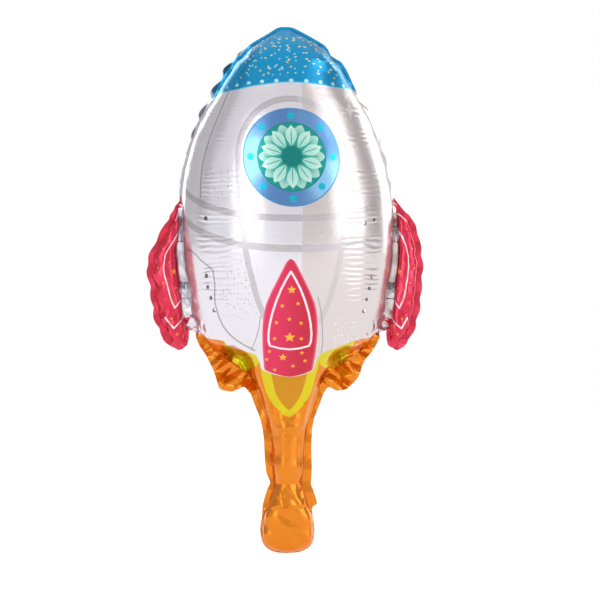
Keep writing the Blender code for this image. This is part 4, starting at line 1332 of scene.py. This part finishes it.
# %% A foil material
def foil(name, prints, base=HULL_LEFT, ripple=0.12, crinkle=0.09, dent=0.6, metal=0.8):
    """Foil with these print groups laid over each other."""
    material = bpy.data.materials.new(name)
    material.use_nodes = True
    sheet = Sheet(material.node_tree)
    shader = material.node_tree.nodes["Principled BSDF"]
    place = sheet.use("film_place")
    colour = base
    for print_name in prints:
        values = {"Place": place} if print_name == "zones" else {"Place": place, "Colour": colour}
        colour = sheet.use(print_name, **values)
    sheet.feed(shader.inputs["Base Color"], colour)
    sheet.feed(shader.inputs["Roughness"], sheet.use("foil_haze", Place=place))
    bump = sheet.node("ShaderNodeBump")
    sheet.feed(bump.inputs["Height"], sheet.use("foil_relief", Place=place, Ripple=ripple, Crinkle=crinkle, Dent=dent))
    sheet.feed(bump.inputs["Distance"], MM)
    sheet.feed(shader.inputs["Normal"], bump.outputs[0])
    shader.inputs["Metallic"].default_value = metal
    shader.inputs["Coat Weight"].default_value = 0.3
    shader.inputs["Coat Roughness"].default_value = 0.12
    return material


# %% Which piece gets which print
FINISHES = {
    "hull_front": foil("hull_front_film", ["zones", "hull_print", "porthole", "middle_fin", "flame_print"]),
    "nose_front": foil("nose_front_film", ["zones", "hull_print", "nose_print"]),
    "handle_front": foil("handle_front_film", ["zones", "flame_print"], dent=0.2),
    # the back film carries a painted shade along its weld
    "body_back": foil("back_film", ["zones", "flame_print", "back_border"]),
    "fin_front": foil("fin_front_film", ["fin_print"], RED),
    "fin_back": foil("fin_back_film", ["fin_print"], RED),
    "fin_seal": foil("fin_margin", ["fin_print"], RED),
    "weld": foil("weld_strip", ["zones"]),
    "margin": foil("body_margin", ["zones", "flame_print"]),
}


def finish_of(name):
    kind = name.split("_")[0]
    if name in FINISHES:
        return FINISHES[name]
    if kind == "weld":
        return FINISHES["weld"]
    if kind == "fin":
        return FINISHES["fin_seal" if "seal" in name else "fin_front" if "front" in name else "fin_back"]
    if "seal" in name or kind == "flame":
        return FINISHES["margin"]
    return FINISHES["handle_front" if "front" in name else "body_back"]


for name, piece in pieces.items():
    piece.data.materials.append(finish_of(name))
print("materials:", len(FINISHES), "groups:", len(bpy.data.node_groups))

# %% [markdown]
# ### The valve
#
# A flat sleeve of clear film is welded into the tail, and the gas goes in through it.
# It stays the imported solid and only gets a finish: thin plastic with faint cloudy streaks.

# %% Valve film
valve = bpy.data.materials.new("valve_plastic")
valve.use_nodes = True
sheet = Sheet(valve.node_tree)
shader = valve.node_tree.nodes["Principled BSDF"]
coords = sheet.node("ShaderNodeTexCoord").outputs["Object"]
streaks = sheet.node("ShaderNodeTexNoise")
sheet.feed(streaks.inputs["Vector"], sheet.vector("MULTIPLY", coords, (900, 900, 120)))
sheet.feed(streaks.inputs["Scale"], 1.0)
sheet.feed(shader.inputs["Base Color"], sheet.mix(streaks.outputs[0], ink(206, 208, 212), ink(240, 242, 246)))
sheet.feed(shader.inputs["Roughness"], sheet.math("MULTIPLY_ADD", streaks.outputs[0], 0.2, 0.2))
valve_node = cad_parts["valve_sleeve"]
for slot in valve_node.material_slots:
    slot.material = valve
print("valve slots:", len(valve_node.material_slots))

# %% [markdown]
# ## Light, floor and camera
#
# Foil shows what stands round it, so the light matters as much as the material.
# A white studio is all round, with two tall soft boxes beside the camera and one above.
# Two dark flags stand behind the balloon, left and right, and give its rounded edges a dark outline.
# The floor is a wide pale sheet just under the tail.

# %% Camera
FRAME_WIDTH = 0.5244      # metres across the picture at the balloon
CAMERA_AWAY = 3.2
CAMERA_TURN = math.radians(4.0)
aim_x, aim_z = 0.0105, 0.145
lens = bpy.data.cameras.new("camera")
lens.sensor_width = 36
lens.lens = 36 * CAMERA_AWAY / FRAME_WIDTH
camera = bpy.data.objects.new("camera", lens)
bpy.context.scene.collection.objects.link(camera)
right = Vector((math.cos(CAMERA_TURN), -math.sin(CAMERA_TURN), 0))
back = Vector((-math.sin(CAMERA_TURN), -math.cos(CAMERA_TURN), 0))
aim = right * aim_x + Vector((0, 0, aim_z))
camera.location = aim + back * CAMERA_AWAY
camera.rotation_euler = (-back).to_track_quat("-Z", "Y").to_euler()
bpy.context.scene.camera = camera

# %% Floor
floor_mesh = bpy.data.meshes.new("floor")
half, depth = 4.0, cad_low.z - 0.004
floor_mesh.from_pydata([(-half, -half, depth), (half, -half, depth), (half, half, depth), (-half, half, depth)],
                       [], [(0, 1, 2, 3)])
floor = bpy.data.objects.new("floor", floor_mesh)
bpy.context.scene.collection.objects.link(floor)
paper = bpy.data.materials.new("floor_paper")
paper.use_nodes = True
paper.node_tree.nodes["Principled BSDF"].inputs["Base Color"].default_value = (0.9, 0.9, 0.9, 1)
paper.node_tree.nodes["Principled BSDF"].inputs["Roughness"].default_value = 0.9
paper.node_tree.nodes["Principled BSDF"].inputs["Emission Color"].default_value = (1, 1, 1, 1)
paper.node_tree.nodes["Principled BSDF"].inputs["Emission Strength"].default_value = 0.35
floor_mesh.materials.append(paper)

# %% World and soft boxes
world = bpy.data.worlds.new("studio")
bpy.context.scene.world = world
world.use_nodes = True
sheet = Sheet(world.node_tree)
x, y, z = sheet.node("ShaderNodeSeparateXYZ").outputs
sheet.feed(x.node.inputs[0], sheet.node("ShaderNodeTexCoord").outputs["Generated"])
behind = over(sheet, y, 8)
turn = sheet.math("MULTIPLY", sheet.math("ARCTAN2", x, sheet.math("ABSOLUTE", y)), 180 / math.pi)
rise = sheet.math("MULTIPLY", sheet.math("ARCSINE", z), 180 / math.pi)
light = sheet.math("MULTIPLY_ADD", between(sheet, turn, -78, 78, 16), 0.42, 0.48)
flags = both(sheet, behind, between(sheet, sheet.math("ABSOLUTE", turn), 28, 74, 14))
light = sheet.math("MULTIPLY_ADD", flags, -0.35, light)
light = sheet.math("MAXIMUM", light, between(sheet, rise, 48, 120, 22))
BOXES = [   # turn from the camera's side, rise, brightness
    ((-43, -20), (-22, 34), 2.0), ((39, 70), (-22, 44), 1.9),
]
for (turn_low, turn_high), (rise_low, rise_high), extra in BOXES:
    box = both(sheet, between(sheet, turn, turn_low, turn_high, 7), between(sheet, rise, rise_low, rise_high, 8))
    light = sheet.math("MULTIPLY_ADD", box, extra, light)
straight = sheet.node("ShaderNodeLightPath").outputs["Is Camera Ray"]
light = sheet.math("MAXIMUM", light, straight)
light = sheet.math("MINIMUM", light, sheet.math("MULTIPLY_ADD", straight, -9.0, 10.0))
background = world.node_tree.nodes["Background"]
background.inputs["Color"].default_value = (1, 1, 1, 1)
sheet.feed(background.inputs["Strength"], light)
bpy.context.scene.view_settings.view_transform = "Standard"
print("soft boxes:", len(BOXES))
